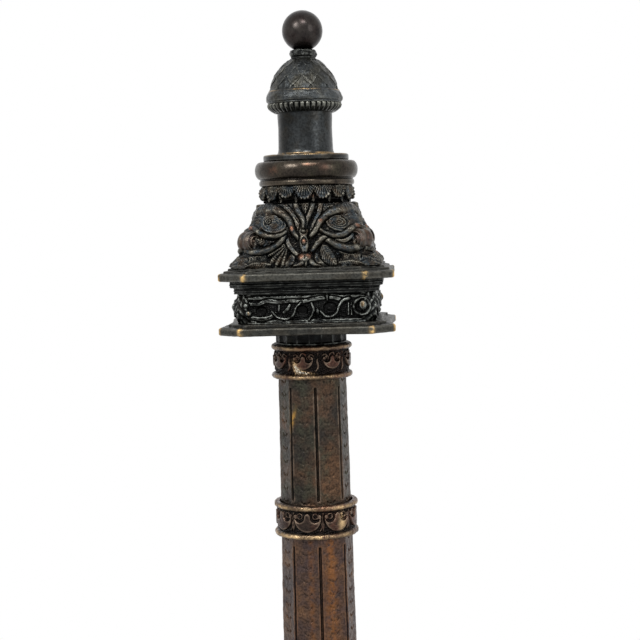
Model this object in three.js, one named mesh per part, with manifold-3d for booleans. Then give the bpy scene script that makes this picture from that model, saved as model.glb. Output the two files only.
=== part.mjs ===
// A tall cast-bronze paschal candlestick with a lift-off domed cover over its candle socket.
// Millimetres, +Z up. The origin is on the floor, under the middle of the foot.
// The castings are threaded on one steel tie rod, and a nut at each end clamps them together.
import * as THREE from "three";
import { mergeVertices } from "three/addons/utils/BufferGeometryUtils.js";
import Module from "manifold-3d";

const wasm = await Module();
wasm.setup();

// Fits
const seatGap = 0.1; // between two faces that rest on each other
const slipFit = 0.3; // radial clearance of a spigot, a rod or a nut
const coverFit = 0.6; // radial clearance of the lift-off cover round the socket

// Steel tie rod and its hardware
const rodRadius = 5;
const nutFlats = 16;
const nutHeight = 8;
const washerRadius = 13;
const washerThickness = 2;
const rodProud = 2.5; // how far the rod stands past each nut

// Candle socket, sized for a 38 mm candle
const candleRadius = 19;
const candleClearance = 0.5;
const socketWall = 2.9;
const socketWaist = 0.5; // how far the socket's middle is drawn in
const socketFlare = 1.1; // how far its foot spreads over the drip flange
const socketFlareHeight = 4;
const socketHeight = 43.6; // above the drip flange
const socketFloor = 5;
const seatCap = 2; // metal over the recess of the candle seat

// Drip flange, torus collar and leaf collar under the socket
const flangeRadius = 34.8;
const flangeThickness = 5.5;
const flangeEase = 0.8;
const torusReach = 42;
const torusThickness = 14.5;
const torusFootHeight = 5.5;
const torusFootRadius = 39;
const torusGroove = 1.2;
const leafCollarRadius = 37.5;
const leafCollarHeight = 14.4;
const leafCount = 16;
const leafDrop = 9;
const leafProud = 1.6;
const leafRound = 1; // height of the leaf's rolled tip, above and below its middle

// Lift-off cover
const coverEngage = 10; // how far the cover's mouth comes down over the socket
const gadroonHeight = 7.4;
const gadroonCount = 40;
const gadroonDepth = 0.9;
const gadroonLip = 1.6; // metal round the mouth, and how far the lobes stay inside the rim
const rimReach = 31.4;
const rimHeight = 11;
const rimEase = 1; // roundover at the rim's widest line
const rimTaper = 2.2; // how far the rim leans in towards the dome
const domeFootRadius = 28;
const domeLip = 0.8; // ledge that the leaves of the dome start from
const domeHeight = 25.3;
const domeWall = 3.4;
const domeCrownRadius = 10.3;
const crownThickness = 4;

// Ball knob, its collar and the stud that holds them on the cover
const ballRadius = 16.5;
const knobCollarHeight = 7;
const knobCollarRadius = 10.4;
const knobCollarWaist = 8;
const knobCollarFoot = 9.9;
const knobCollarBeads = 10;
const beadRelief = 1;
const studRadius = 3;
const studDepth = 14; // inside the ball
const studNutFlats = 10;
const studNutHeight = 5;
const studProud = 1.5;

// Square capital
const capitalTopWidth = 79;
const bodyTopCut = 8; // cut corners at the top of the capital and of the foot's body
const capitalBottomWidth = 119;
const capitalHeight = 50;
const capitalCut = 12;
const capitalWall = 9;
const capitalFootWall = 16.2; // the foot is thicker, under the scrolls
const voluteRadius = 8.2;
const voluteWidth = 13;
const voluteBand = 2.2;
const voluteSteps = 6;
const voluteTurns = 1.35;
const voluteWind = 0.62; // how much of its radius the spiral loses
const voluteHeight = 20.5; // of its centre above the capital's foot
const voluteInset = 5.2; // how far it lies inside the corner of the foot
const vineHalfWidth = 2.6;
const vineRise = 3.3; // over the sides of the capital
const cornerRibHalfWidth = 4.5;
const ribSink = 1.5; // how deep the foot of a cast rib lies in the body
const ribEnd = 0.6; // size of a curved rib's ends over its middle
const ribStep = 0.02; // how far beside a place the surface's lean is measured
const plateWidth = 140;
const plateCut = 21.5;
const plateHollow = 3.5; // how far the sides are drawn in between the cut corners
const upperPlateThickness = 5.4;
const upperStepHeight = 2.5;
const upperStepWidth = 132;
const upperSecondStepWidth = 125;
const mouldingHeight = 5;
const mouldingWidth = 122;
const mouldingLowerWidth = 116;
const friezeWidth = 110;
const friezeHeight = 23.5;
const friezeCut = 9;
const friezeBulge = 2.2;
const friezeWall = 9;
const panelRecess = 2.4;
const panelMargin = 3; // above and below the recessed panel
const bossRadius = 9.5;
const bossMargin = 0.4; // between a boss and the top and bottom of its frieze
const lowerPlateCut = 17.5;
const lowerPlateThickness = 6;
const lowerStepHeight = 3;
const lowerStepWidth = 126;

// Column: shaft sections between round bands, all on one taper
const shaftCount = 5;
const shaftLength = 102.4;
const shaftTopRadius = 28;
const shaftTaper = 0.011; // growth of the radius for each millimetre down
const shaftWall = 4.5;
const panelCount = 8;
const grooveWidth = 2;
const grooveDepth = 1.3;
const grooveHeadInset = 7; // from the band above to the groove's end
const grooveFootInset = 3; // from the band below to the groove's end
const columnTurn = 7.5; // degrees from the sides of the capital to the nearest grooves
const bandHeight = 28;
const bandProud = 3.9;
const bandBead = 2.3;
const beadProud = 1.6;
const neckHeight = 11.4;
const neckFlutes = 18;
const fluteDepth = 1.5;

// Square foot
const footBallRadius = 17;
const footHeight = 20;
const footFlatRadius = 12;
const basePlateWidth = 290;
const basePlateCut = 52;
const basePlateHollow = 8;
const basePlateThickness = 9;
const skirtHeight = 20;
const skirtSetback = 14; // from the edge of the base plate
const skirtTopWidth = 206;
const skirtCut = 34;
const baseWall = 10;
const baseFriezeWidth = 190;
const baseFriezeHeight = 34;
const baseFriezeCut = 15;
const baseFriezeBulge = 3.5;
const baseMouldingHeight = 9;
const baseMouldingWidth = 210;
const baseMouldingLowerWidth = 199;
const baseTopPlateWidth = 236;
const baseTopPlateCut = 38;
const baseTopPlateHollow = 5;
const baseTopPlateThickness = 8;
const baseStepHeight = 4;
const baseStepWidth = 208;
const baseBodyHeight = 50;
const baseBodyBottomWidth = 188;
const baseBodyCut = 18;
const baseBodyCavity = 108;
const baseVoluteRadius = 13;
const baseVoluteWidth = 17;
const baseVoluteHeight = 18;
const baseVoluteInset = 12; // how far it lies inside the corner
const baseOrnamentScale = 1.35; // width of its ribs over the capital's
const baseCollarHeight = 20;
const baseCollarReach = 51;
const weightMargin = 3;
const weightHeight = 44;
const footScrewRadius = 3;
const footScrewHead = 5.5;
const footScrewHeadHeight = 4;
const footScrewRecess = 8;
const footScrewShort = 1; // from its tip to the top of the base plate

// Facets
const roundSides = 18;
const smallSides = 12;
const ballSides = 18;
const hollowSidePoints = 4; // on each drawn-in side of a square section
const bodySidePoints = 4; // on each side of an ogee body

const finishes = {
  patina: { color: 0x2a2a27, roughness: 0.45, metalness: 0.85 },
  column: { color: 0x44342a, roughness: 0.5, metalness: 0.85 },
  steel: { color: 0x8f9296, roughness: 0.4, metalness: 1 },
  iron: { color: 0x3a3a3c, roughness: 0.8, metalness: 0.7 },
};

// Turned pieces

// A closed outline of [radius, height] points turned about Z.
// One that starts and ends at radius 0 is solid.
function turned(outline, sides = roundSides) {
  const points = outline.map(([radius, height]) => new THREE.Vector2(radius, height));
  const solid = outline[0][0] === 0 && outline.at(-1)[0] === 0;
  if (!solid) points.push(points[0].clone());
  if (THREE.ShapeUtils.area(points) < 0) points.reverse();
  return new THREE.LatheGeometry(points, sides).rotateX(Math.PI / 2);
}

// Points of a round bead that swells from radius by reach, between two heights.
function bead(radius, reach, low, high, steps = 4) {
  const points = [];
  for (let i = 0; i <= steps; i++) {
    const turn = (Math.PI * i) / steps;
    const rise = (1 - Math.cos(turn)) / 2;
    points.push([radius + reach * Math.sin(turn), low + (high - low) * rise]);
  }
  return points;
}

function ringDisc(outer, inner, height, sides) {
  return turned([[inner, 0], [outer, 0], [outer, height], [inner, height]], sides);
}

// Corner radius of a faceted bore that clears a round of this radius everywhere.
function bore(radius, sides = roundSides) {
  return radius / Math.cos(Math.PI / sides);
}

// Sections and lofts

// A square with cut corners and sides drawn in by hollow, as points round Z at one height.
function squareSection(width, cut, hollow, height, perSide = hollowSidePoints) {
  const half = width / 2;
  const points = [];
  for (let side = 0; side < 4; side++) {
    const across = new THREE.Vector3(Math.cos((side * Math.PI) / 2), Math.sin((side * Math.PI) / 2), 0);
    const along = new THREE.Vector3(-across.y, across.x, 0);
    for (let i = 0; i < perSide; i++) {
      const t = (2 * i) / (perSide - 1) - 1;
      const reach = half - hollow * (1 - t * t);
      const point = across.clone().multiplyScalar(reach).addScaledVector(along, t * (half - cut));
      points.push(point.setZ(height));
    }
  }
  return points;
}

// A circle with one point in the direction of each point of another section.
function roundSection(radius, height, like) {
  return like.map((p) => {
    const angle = Math.atan2(p.y, p.x);
    return new THREE.Vector3(radius * Math.cos(angle), radius * Math.sin(angle), height);
  });
}

// A section as radius(angle) with count points.
function polarSection(radius, height, count) {
  return Array.from({ length: count }, (_, i) => {
    const angle = (2 * Math.PI * i) / count;
    return new THREE.Vector3(Math.cos(angle), Math.sin(angle), 0)
      .multiplyScalar(radius(angle))
      .setZ(height);
  });
}

// Halfway between two sections.
function between(a, b, share, height) {
  return a.map((p, i) => p.clone().lerp(b[i], share).setZ(height));
}

// Skins a loop of sections: up the outside, then down the bore, and back to the first.
function loft(sections) {
  const count = sections[0].length;
  const positions = sections.flatMap((section) => section.flatMap((p) => [p.x, p.y, p.z]));
  const index = [];
  for (let s = 0; s < sections.length; s++) {
    const next = (s + 1) % sections.length;
    for (let i = 0; i < count; i++) {
      const j = (i + 1) % count;
      const a = s * count + i;
      const b = s * count + j;
      const c = next * count + j;
      const d = next * count + i;
      index.push(a, b, c, a, c, d);
    }
  }
  const geometry = new THREE.BufferGeometry();
  geometry.setAttribute("position", new THREE.Float32BufferAttribute(positions, 3));
  geometry.setIndex(index);
  return geometry;
}

// Joining and cutting

function toManifold(geometry) {
  const bare = geometry.index ? geometry.toNonIndexed() : geometry.clone();
  bare.deleteAttribute("normal");
  bare.deleteAttribute("uv");
  const merged = mergeVertices(bare, 1e-4);
  return new wasm.Manifold(
    new wasm.Mesh({
      numProp: 3,
      vertProperties: new Float32Array(merged.attributes.position.array),
      triVerts: new Uint32Array(merged.index.array),
    }),
  );
}

function toGeometry(solid) {
  const mesh = solid.getMesh();
  const geometry = new THREE.BufferGeometry();
  const positions = new Float32Array(mesh.numVert * 3);
  for (let i = 0; i < mesh.numVert; i++) {
    const from = i * mesh.numProp;
    positions.set(mesh.vertProperties.subarray(from, from + 3), i * 3);
  }
  geometry.setAttribute("position", new THREE.BufferAttribute(positions, 3));
  geometry.setIndex(new THREE.BufferAttribute(new Uint32Array(mesh.triVerts), 1));
  return geometry;
}

function joined(geometries, cuts = []) {
  let solid = toManifold(geometries[0]);
  for (const geometry of geometries.slice(1)) solid = solid.add(toManifold(geometry));
  for (const cut of cuts) solid = solid.subtract(toManifold(cut));
  return toGeometry(solid);
}

// Copies of a geometry turned about Z into each quarter.
function quarters(geometry) {
  return [0, 1, 2, 3].map((i) => geometry.clone().rotateZ((i * Math.PI) / 2));
}

// Plates

function plateShape(width, cut, hollow) {
  const corners = squareSection(width, cut, hollow, 0, hollow === 0 ? 2 : hollowSidePoints);
  return new THREE.Shape(corners.map((p) => new THREE.Vector2(p.x, p.y)));
}

// A small round cutter along Z, centred on the origin, that clears a rod of this radius.
function drill(radius, length) {
  const corner = bore(radius, smallSides);
  return new THREE.CylinderGeometry(corner, corner, length, smallSides).rotateX(Math.PI / 2);
}

function drilledPlate(width, cut, hollow, thickness, holes) {
  const blank = new THREE.ExtrudeGeometry(plateShape(width, cut, hollow), {
    depth: thickness,
    bevelEnabled: false,
  });
  const drills = holes.map(([x, y, radius]) => drill(radius, 3 * thickness).translate(x, y, thickness / 2));
  return joined([blank], drills);
}

// A plate with smaller steps stacked on it and a rod hole. Each step is [width, height].
function steppedPlate(width, cut, hollow, thickness, steps) {
  const sections = [squareSection(width, cut, hollow, 0), squareSection(width, cut, hollow, thickness)];
  let top = thickness;
  for (const [stepWidth, stepHeight] of steps) {
    const stepCut = cut * (stepWidth / width);
    sections.push(squareSection(stepWidth, stepCut, hollow, top));
    top += stepHeight;
    sections.push(squareSection(stepWidth, stepCut, hollow, top));
  }
  const hole = rodRadius + 4 * slipFit;
  const bores = [top, 0].map((z) => roundSection(hole, z, sections[0]));
  return loft([...sections, ...bores]);
}

// Hardware

function hexNut(flats, hole, height) {
  const corner = flats / Math.sqrt(3);
  const nut = new THREE.CylinderGeometry(corner, corner, height, 6).rotateX(Math.PI / 2);
  return joined([nut], [drill(hole, 2 * height)]).translate(0, 0, height / 2);
}

// Heights, from the floor up

const rodHole = rodRadius + slipFit;
const footTop = footHeight;
const skirtBottom = footTop + basePlateThickness;
const baseFriezeBottom = skirtBottom + skirtHeight;
const baseMouldingBottom = baseFriezeBottom + baseFriezeHeight;
const baseTopPlateBottom = baseMouldingBottom + baseMouldingHeight;
const baseBodyBottom = baseTopPlateBottom + baseTopPlateThickness + baseStepHeight;
const baseCollarBottom = baseBodyBottom + baseBodyHeight;
const columnBottom = baseCollarBottom + baseCollarHeight;
const columnHeight = (shaftCount + 1) * bandHeight + shaftCount * shaftLength;
const neckBottom = columnBottom + columnHeight;
const lowerPlateBottom = neckBottom + neckHeight;
const friezeBottom = lowerPlateBottom + lowerPlateThickness + lowerStepHeight;
const mouldingBottom = friezeBottom + friezeHeight;
const upperPlateBottom = mouldingBottom + 2 * mouldingHeight;
const capitalBottom = upperPlateBottom + upperPlateThickness + 2 * upperStepHeight;
const leafCollarBottom = capitalBottom + capitalHeight;
const torusBottom = leafCollarBottom + leafCollarHeight;
const flangeBottom = torusBottom + torusFootHeight + torusThickness;
const flangeTop = flangeBottom + flangeThickness;
const socketTop = flangeTop + socketHeight;
const coverBottom = socketTop - coverEngage + seatGap;

// Radius of the tapered column at a height. It is shaftTopRadius at the underside of the top band.
function columnRadius(z) {
  return shaftTopRadius + shaftTaper * (neckBottom - bandHeight - z);
}

// Column

// The panelled section of a shaft: eight nearly flat panels with a groove between each two.
function shaftSection(radius, height, depth) {
  const pitch = (2 * Math.PI) / panelCount;
  const edge = grooveWidth / 2 / radius;
  const corners = [
    [0, radius - depth],
    [edge, radius],
    [pitch - edge, radius],
  ];
  const points = [];
  for (let panel = 0; panel < panelCount; panel++) {
    for (const [turn, reach] of corners) {
      const angle = THREE.MathUtils.degToRad(columnTurn) + panel * pitch + turn;
      points.push(new THREE.Vector3(reach * Math.cos(angle), reach * Math.sin(angle), height));
    }
  }
  return points;
}

// A tube whose two plain ends reach to the middle of the bands above and below it.
function shaft(bottom, headroom, footroom) {
  const radiusAt = (z) => columnRadius(bottom + z);
  const low = footroom + grooveFootInset;
  const high = footroom + shaftLength - grooveHeadInset;
  const top = footroom + shaftLength + headroom;
  const outside = [
    shaftSection(radiusAt(0), 0, 0),
    shaftSection(radiusAt(low), low, 0),
    shaftSection(radiusAt(low), low + grooveDepth, grooveDepth),
    shaftSection(radiusAt(high), high - grooveDepth, grooveDepth),
    shaftSection(radiusAt(high), high, 0),
    shaftSection(radiusAt(top), top, 0),
  ];
  const inside = [top, 0].map((z) => roundSection(radiusAt(z) - shaftWall, z, outside[0]));
  return loft([...outside, ...inside]);
}

// A round sleeve with a bead at each edge, over the joint of two shafts.
function band(bottom) {
  const height = bandHeight - seatGap;
  const radiusAt = (z) => columnRadius(bottom + z);
  const hole = (z) => bore(radiusAt(z) + slipFit);
  const body = radiusAt(height / 2) + bandProud;
  const edge = (z) => radiusAt(z) + beadProud;
  const round = 2 * bandBead;
  return turned([
    [hole(0), 0],
    [edge(0), 0],
    [body + beadProud, bandBead],
    [body, round],
    [body, height - round],
    [body + beadProud, height - bandBead],
    [edge(height), height],
    [hole(height), height],
  ]);
}

function neck() {
  const height = neckHeight - seatGap;
  const radius = columnRadius(neckBottom) + beadProud;
  const points = neckFlutes * 2;
  const plain = () => radius;
  const fluted = (angle) => radius - fluteDepth * Math.cos((neckFlutes * angle) / 2) ** 2;
  const inner = () => radius - shaftWall;
  return loft([
    polarSection(plain, 0, points),
    polarSection(fluted, height * 0.15, points),
    polarSection(fluted, height * 0.85, points),
    polarSection(plain, height, points),
    polarSection(inner, height, points),
    polarSection(inner, 0, points),
  ]);
}

// Capital and foot

// A rolled scroll end: a spiral band on a narrower disc.
function volute(radius, width, bandWidth) {
  const outer = [];
  const inner = [];
  for (let i = 0; i <= voluteSteps; i++) {
    const share = i / voluteSteps;
    const angle = -2 * Math.PI * voluteTurns * share;
    const reach = radius * (1 - voluteWind * share);
    outer.push(new THREE.Vector2(Math.cos(angle), Math.sin(angle)).multiplyScalar(reach));
    inner.push(new THREE.Vector2(Math.cos(angle), Math.sin(angle)).multiplyScalar(reach - bandWidth));
  }
  const spiral = new THREE.Shape([...outer, ...inner.reverse()]);
  const roll = new THREE.ExtrudeGeometry(spiral, { depth: width, bevelEnabled: false });
  const disc = new THREE.CylinderGeometry(radius * 0.8, radius * 0.8, width * 0.7, 8);
  return joined([disc.rotateX(Math.PI / 2), roll.translate(0, 0, -width / 2)]);
}

// A volute at each corner of a body. Its axis is level and square to the corner's diagonal.
function cornerVolutes(radius, width, bandWidth, diagonal, height) {
  const one = volute(radius, width, bandWidth)
    .rotateX(Math.PI / 2)
    .translate(diagonal - radius, 0, height)
    .rotateZ(Math.PI / 4);
  return quarters(one);
}

// Distance from the axis to the middle of a cut corner.
function cornerReach(width, cut) {
  return (width - cut) / Math.SQRT2;
}

// Profile of the ogee from the foot up, measured from the photograph: shares of its height and spread.
const ogeeStations = [
  [0, 1],
  [0.06, 0.96],
  [0.16, 0.66],
  [0.56, 0.41],
  [0.84, 0.14],
  [1, 0],
];

// Outline of an ogee body at a share of its height. Its first side comes first.
function ogeeSection({ height, bottomWidth, cut, topWidth, topCut }, rise) {
  const foot = squareSection(bottomWidth, cut, 0, 0, bodySidePoints);
  const top = squareSection(topWidth, topCut, 0, 0, bodySidePoints);
  const next = Math.max(1, ogeeStations.findIndex(([station]) => station >= rise));
  const [lowRise, lowSpread] = ogeeStations[next - 1];
  const [highRise, highSpread] = ogeeStations[next];
  const spread = lowSpread + ((highSpread - lowSpread) * (rise - lowRise)) / (highRise - lowRise);
  return between(top, foot, spread, rise * height);
}

// Ogee body that spreads down from a square top to a wider square foot, with a tapering round bore.
function ogeeBody(shape) {
  const outside = ogeeStations.map(([rise]) => ogeeSection(shape, rise));
  const top = roundSection(shape.boreTop, shape.height, outside[0]);
  const foot = roundSection(shape.boreBottom, 0, outside[0]);
  return loft([...outside, top, foot]);
}

// A place on the first side. across goes from -1 to 1 between its cut corners.
function onSide(shape, across, rise) {
  const outline = ogeeSection(shape, rise);
  const place = ((across + 1) / 2) * (bodySidePoints - 1);
  const left = Math.min(Math.floor(place), bodySidePoints - 2);
  return outline[left].clone().lerp(outline[left + 1], place - left);
}

// A place on the middle of the cut corner after the first side.
function onCorner(shape, across, rise) {
  const end = ogeeSection(shape, rise)[bodySidePoints - 1];
  const reach = (end.x + end.y) / 2;
  return new THREE.Vector3(reach - across, reach + across, end.z);
}

// A rib with a three-cornered section, cast on the surface along a path of [across, rise] places.
function castRib(surface, shape, path, halfWidth, height) {
  const places = path.map(([across, rise]) => surface(shape, across, rise));
  const sections = path.map(([across, rise], i) => {
    const beside = surface(shape, across + ribStep, rise).sub(places[i]);
    const above = surface(shape, across, rise + ribStep).sub(places[i]);
    const out = beside.cross(above).normalize();
    const before = places[Math.max(i - 1, 0)];
    const after = places[Math.min(i + 1, places.length - 1)];
    const side = out.clone().cross(after.clone().sub(before)).normalize();
    const atEnd = places.length > 2 && (i === 0 || i === places.length - 1);
    const swell = atEnd ? ribEnd : 1;
    const foot = places[i].clone().addScaledVector(out, -ribSink);
    return [
      foot.clone().addScaledVector(side, -halfWidth * swell),
      foot.clone().addScaledVector(side, halfWidth * swell),
      places[i].clone().addScaledVector(out, height * swell),
    ];
  });
  return capped(sections);
}

// Skins a row of sections and closes its two ends.
function capped(sections) {
  const count = sections[0].length;
  const last = (sections.length - 1) * count;
  const index = [];
  for (let s = 0; s < sections.length - 1; s++) {
    for (let i = 0; i < count; i++) {
      const j = (i + 1) % count;
      const a = s * count;
      index.push(a + i, a + j, a + count + j, a + i, a + count + j, a + count + i);
    }
  }
  for (let i = 1; i < count - 1; i++) index.push(0, i + 1, i, last, last + i, last + i + 1);
  const positions = sections.flatMap((section) => section.flatMap((p) => [p.x, p.y, p.z]));
  const geometry = new THREE.BufferGeometry();
  geometry.setAttribute("position", new THREE.Float32BufferAttribute(positions, 3));
  geometry.setIndex(index);
  return geometry;
}

// The main vines of one side, as [across, rise] places from the photograph. Each has a mirrored twin.
const archPath = [[1, 0.79], [0.8, 0.88], [0.46, 0.72], [0.14, 0.46]];
const scrollPath = [[0.13, 0.23], [0.44, 0.42], [0.84, 0.26], [1, 0.34]];
const forkPath = [[0.28, 0.93], [0, 0.6]];
const trunkPath = [[0, 0.68], [0, 0.34]];
const cornerPath = [[0, 0.94], [0, 0.56]];

// Vines and corner ribs for all four sides of an ogee body.
function castOrnament(shape, scale) {
  const mirrored = (path) => path.map(([across, rise]) => [-across, rise]);
  const vine = (path) => castRib(onSide, shape, path, vineHalfWidth * scale, vineRise);
  const vines = [archPath, scrollPath, forkPath].flatMap((path) => [vine(path), vine(mirrored(path))]);
  const corner = castRib(onCorner, shape, cornerPath, cornerRibHalfWidth * scale, vineRise);
  return [...vines, vine(trunkPath), corner].flatMap(quarters);
}

function capitalBody() {
  const shape = {
    height: capitalHeight - seatGap,
    bottomWidth: capitalBottomWidth,
    cut: capitalCut,
    topWidth: capitalTopWidth,
    topCut: bodyTopCut,
    boreTop: capitalTopWidth / 2 - capitalWall,
    boreBottom: capitalBottomWidth / 2 - capitalFootWall,
  };
  const diagonal = cornerReach(capitalBottomWidth, capitalCut) - voluteInset;
  const scrolls = cornerVolutes(voluteRadius, voluteWidth, voluteBand, diagonal, voluteHeight);
  return joined([ogeeBody(shape), ...castOrnament(shape, 1), ...scrolls]);
}

function leafCollar() {
  const height = leafCollarHeight - seatGap;
  const points = leafCount * 2;
  const leafy = (share) => (angle) =>
    leafCollarRadius + leafProud * share * Math.abs(Math.sin((leafCount * angle) / 2));
  const web = height * 0.45;
  return loft([
    polarSection(() => leafCollarRadius, 0, points),
    polarSection(() => leafCollarRadius, height - leafDrop - leafRound, points),
    polarSection(leafy(1), height - leafDrop + leafRound, points),
    polarSection(leafy(0.8), height - 2 * leafRound, points),
    polarSection(() => leafCollarRadius, height, points),
    polarSection(() => rodHole, height, points),
    polarSection(() => rodHole, web, points),
    polarSection(() => leafCollarRadius - capitalWall, web, points),
    polarSection(() => leafCollarRadius - capitalWall, 0, points),
  ]);
}

// A box frieze with a recessed panel on each side, bulging corners and an open middle.
function frieze({ width, cut, bulge, height, wall, boss, recess }) {
  const rise = [0, 0.25, 0.75, 1];
  const outside = rise.map((share) => {
    const swell = bulge * Math.sin(Math.PI * share);
    return squareSection(width + 2 * swell, cut + swell, 0, share * height, 2);
  });
  const hollow = [height, 0].map((z) => squareSection(width - 2 * wall, cut, 0, z, 2));
  const corner = cornerReach(width, cut);
  const cushion = new THREE.SphereGeometry(1, 8, 4)
    .rotateX(Math.PI / 2)
    .scale(boss * 0.5, boss, height / 2 - bossMargin)
    .translate(corner, 0, height / 2)
    .rotateZ(Math.PI / 4);
  const panelWidth = width - 2 * cut - boss;
  const panelHeight = height - 2 * panelMargin;
  const depth = recess + bulge;
  const panel = new THREE.BoxGeometry(2 * depth, panelWidth, panelHeight);
  panel.translate(width / 2 + bulge, 0, height / 2);
  return joined([loft([...outside, ...hollow]), ...quarters(cushion)], quarters(panel));
}

// A stepped square moulding, narrow below, with an open middle.
function moulding(width, lowerWidth, cut, height, wall) {
  const half = height / 2;
  const ring = (across, z) => squareSection(across, cut, 0, z, 2);
  const outside = [ring(lowerWidth, 0), ring(lowerWidth, half), ring(width, half), ring(width, height)];
  const hollow = [height, 0].map((z) => ring(lowerWidth - 2 * wall, z));
  return loft([...outside, ...hollow]);
}

function skirt() {
  const height = skirtHeight - seatGap;
  const foot = squareSection(basePlateWidth - 2 * skirtSetback, skirtCut, 0, 0, 2);
  const top = squareSection(skirtTopWidth, skirtCut / 2, 0, height, 2);
  const cavity = baseFriezeWidth - 2 * baseWall;
  const outside = [
    foot,
    between(foot, top, 0.02, height * 0.15),
    between(foot, top, 0.55, height * 0.35),
    between(foot, top, 0.88, height * 0.68),
    top,
  ];
  const hollow = [height, 0].map((z) => squareSection(cavity, baseFriezeCut, 0, z, 2));
  return loft([...outside, ...hollow]);
}

function baseBody() {
  const shape = {
    height: baseBodyHeight - seatGap,
    bottomWidth: baseBodyBottomWidth,
    cut: baseBodyCut,
    topWidth: 2 * (columnRadius(columnBottom) + bandProud),
    topCut: bodyTopCut,
    boreTop: columnRadius(columnBottom) - shaftWall,
    boreBottom: baseBodyCavity / 2,
  };
  const diagonal = cornerReach(baseBodyBottomWidth, baseBodyCut) - baseVoluteInset;
  const bandWidth = voluteBand * (baseVoluteRadius / voluteRadius);
  const scrolls = cornerVolutes(baseVoluteRadius, baseVoluteWidth, bandWidth, diagonal, baseVoluteHeight);
  return joined([ogeeBody(shape), ...castOrnament(shape, baseOrnamentScale), ...scrolls]);
}

function baseCollar() {
  const height = baseCollarHeight - seatGap;
  const top = columnRadius(columnBottom) + bandProud;
  const reach = baseCollarReach - top;
  const lip = height * 0.15;
  return turned([
    [rodHole, height / 2],
    [top - 2 * shaftWall, height / 2],
    [top - 2 * shaftWall, 0],
    [top, 0],
    [top, lip],
    ...bead(top, reach, lip, height * 0.75),
    [top, height],
    [rodHole, height],
  ]);
}

// Foot balls and their screws

const footSpot = cornerReach(basePlateWidth, basePlateCut) / Math.SQRT2 - footBallRadius / 2;
const footSpots = [
  [1, 1],
  [-1, 1],
  [-1, -1],
  [1, -1],
].map(([x, y]) => [x * footSpot, y * footSpot]);

function bunFoot() {
  const height = footHeight - seatGap;
  const hole = bore(footScrewRadius + slipFit, smallSides);
  const recess = bore(footScrewHead + slipFit, smallSides);
  return turned(
    [
      [recess, 0],
      [footFlatRadius, 0],
      [footBallRadius, height * 0.25],
      [footBallRadius, height * 0.6],
      [footFlatRadius, height * 0.84],
      [footFlatRadius, height],
      [hole, height],
      [hole, footScrewRecess],
      [recess, footScrewRecess],
    ],
    smallSides,
  );
}

function footScrew() {
  const tip = footTop + basePlateThickness - footScrewShort - footScrewRecess;
  return turned(
    [
      [0, -footScrewHeadHeight],
      [footScrewHead, -footScrewHeadHeight],
      [footScrewHead, -seatGap],
      [footScrewRadius, -seatGap],
      [footScrewRadius, tip],
      [0, tip],
    ],
    8,
  );
}

// Socket and cover

const socketBore = candleRadius + candleClearance;
const socketRadius = socketBore + socketWall;
const socketBottom = torusBottom;
const collarBore = bore(socketRadius + slipFit);

function candleSocket() {
  const bottom = seatGap;
  const foot = flangeTop - socketBottom + seatGap;
  const top = socketTop - socketBottom;
  const waist = socketRadius - socketWaist;
  const flare = socketRadius + socketFlare;
  const middle = (foot + socketFlareHeight + top - coverEngage) / 2;
  return turned([
    [rodHole, bottom],
    [socketRadius, bottom],
    [socketRadius, foot],
    [flare, foot],
    [flare - socketFlare * 0.7, foot + socketFlareHeight * 0.4],
    [socketRadius - socketWaist * 0.3, foot + socketFlareHeight],
    [waist, middle],
    [socketRadius, top - coverEngage - socketFlareHeight],
    [socketRadius, top],
    [socketBore, top],
    [socketBore, bottom + socketFloor],
    [rodHole, bottom + socketFloor],
  ]);
}

const topWasherBottom = socketBottom + seatGap + socketFloor;
const topNutBottom = topWasherBottom + washerThickness;
const rodTop = topNutBottom + nutHeight + rodProud;
const bottomNutBottom = footTop - washerThickness - nutHeight;
const rodBottom = bottomNutBottom - rodProud;
const seatRecess = rodTop - topWasherBottom + seatGap;
const seatHeight = seatRecess + seatCap;

// An inverted cup that covers the nut and gives the candle a flat floor.
function candleSeat() {
  const radius = candleRadius;
  const recess = bore(washerRadius + slipFit);
  return turned([
    [0, seatHeight],
    [radius, seatHeight],
    [radius, seatGap],
    [recess, seatGap],
    [recess, seatRecess],
    [0, seatRecess],
  ]);
}

function torusCollar() {
  const height = torusFootHeight + torusThickness - seatGap;
  const neckRadius = torusFootRadius - torusGroove;
  return turned([
    [collarBore, 0],
    [torusFootRadius - torusGroove, 0],
    [torusFootRadius, torusFootHeight * 0.35],
    [torusFootRadius, torusFootHeight * 0.75],
    [neckRadius, torusFootHeight * 0.85],
    ...bead(neckRadius, torusReach - neckRadius, torusFootHeight, height),
    [flangeRadius - torusGroove, height],
    [collarBore, height],
  ]);
}

function dripFlange() {
  const height = flangeThickness - seatGap;
  return turned([
    [collarBore, 0],
    [flangeRadius, 0],
    [flangeRadius, height - flangeEase],
    [flangeRadius - flangeEase, height],
    [collarBore, height],
  ]);
}

const coverBore = bore(socketRadius + coverFit);

// A ring of small upright lobes round the cover's mouth.
function gadroonRing() {
  const points = gadroonCount * 2;
  const height = gadroonHeight - seatGap;
  const lobed = (radius, share) => (angle) =>
    radius + gadroonDepth * share * Math.cos(gadroonCount * angle);
  return loft([
    polarSection(lobed(coverBore + gadroonLip, 0.3), 0, points),
    polarSection(lobed(rimReach - gadroonLip, 1), height, points),
    polarSection(() => coverBore, height, points),
    polarSection(() => coverBore, 0, points),
  ]);
}

const rimTop = gadroonHeight + rimHeight;
const domeTop = rimTop + domeHeight;

// Radius of the dome's outside at a share of its height. The powers fit the photographed profile.
function domeRadius(share) {
  const fall = (1 - share ** 1.7) ** 0.8;
  return domeCrownRadius + (domeFootRadius - domeCrownRadius) * fall;
}

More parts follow.
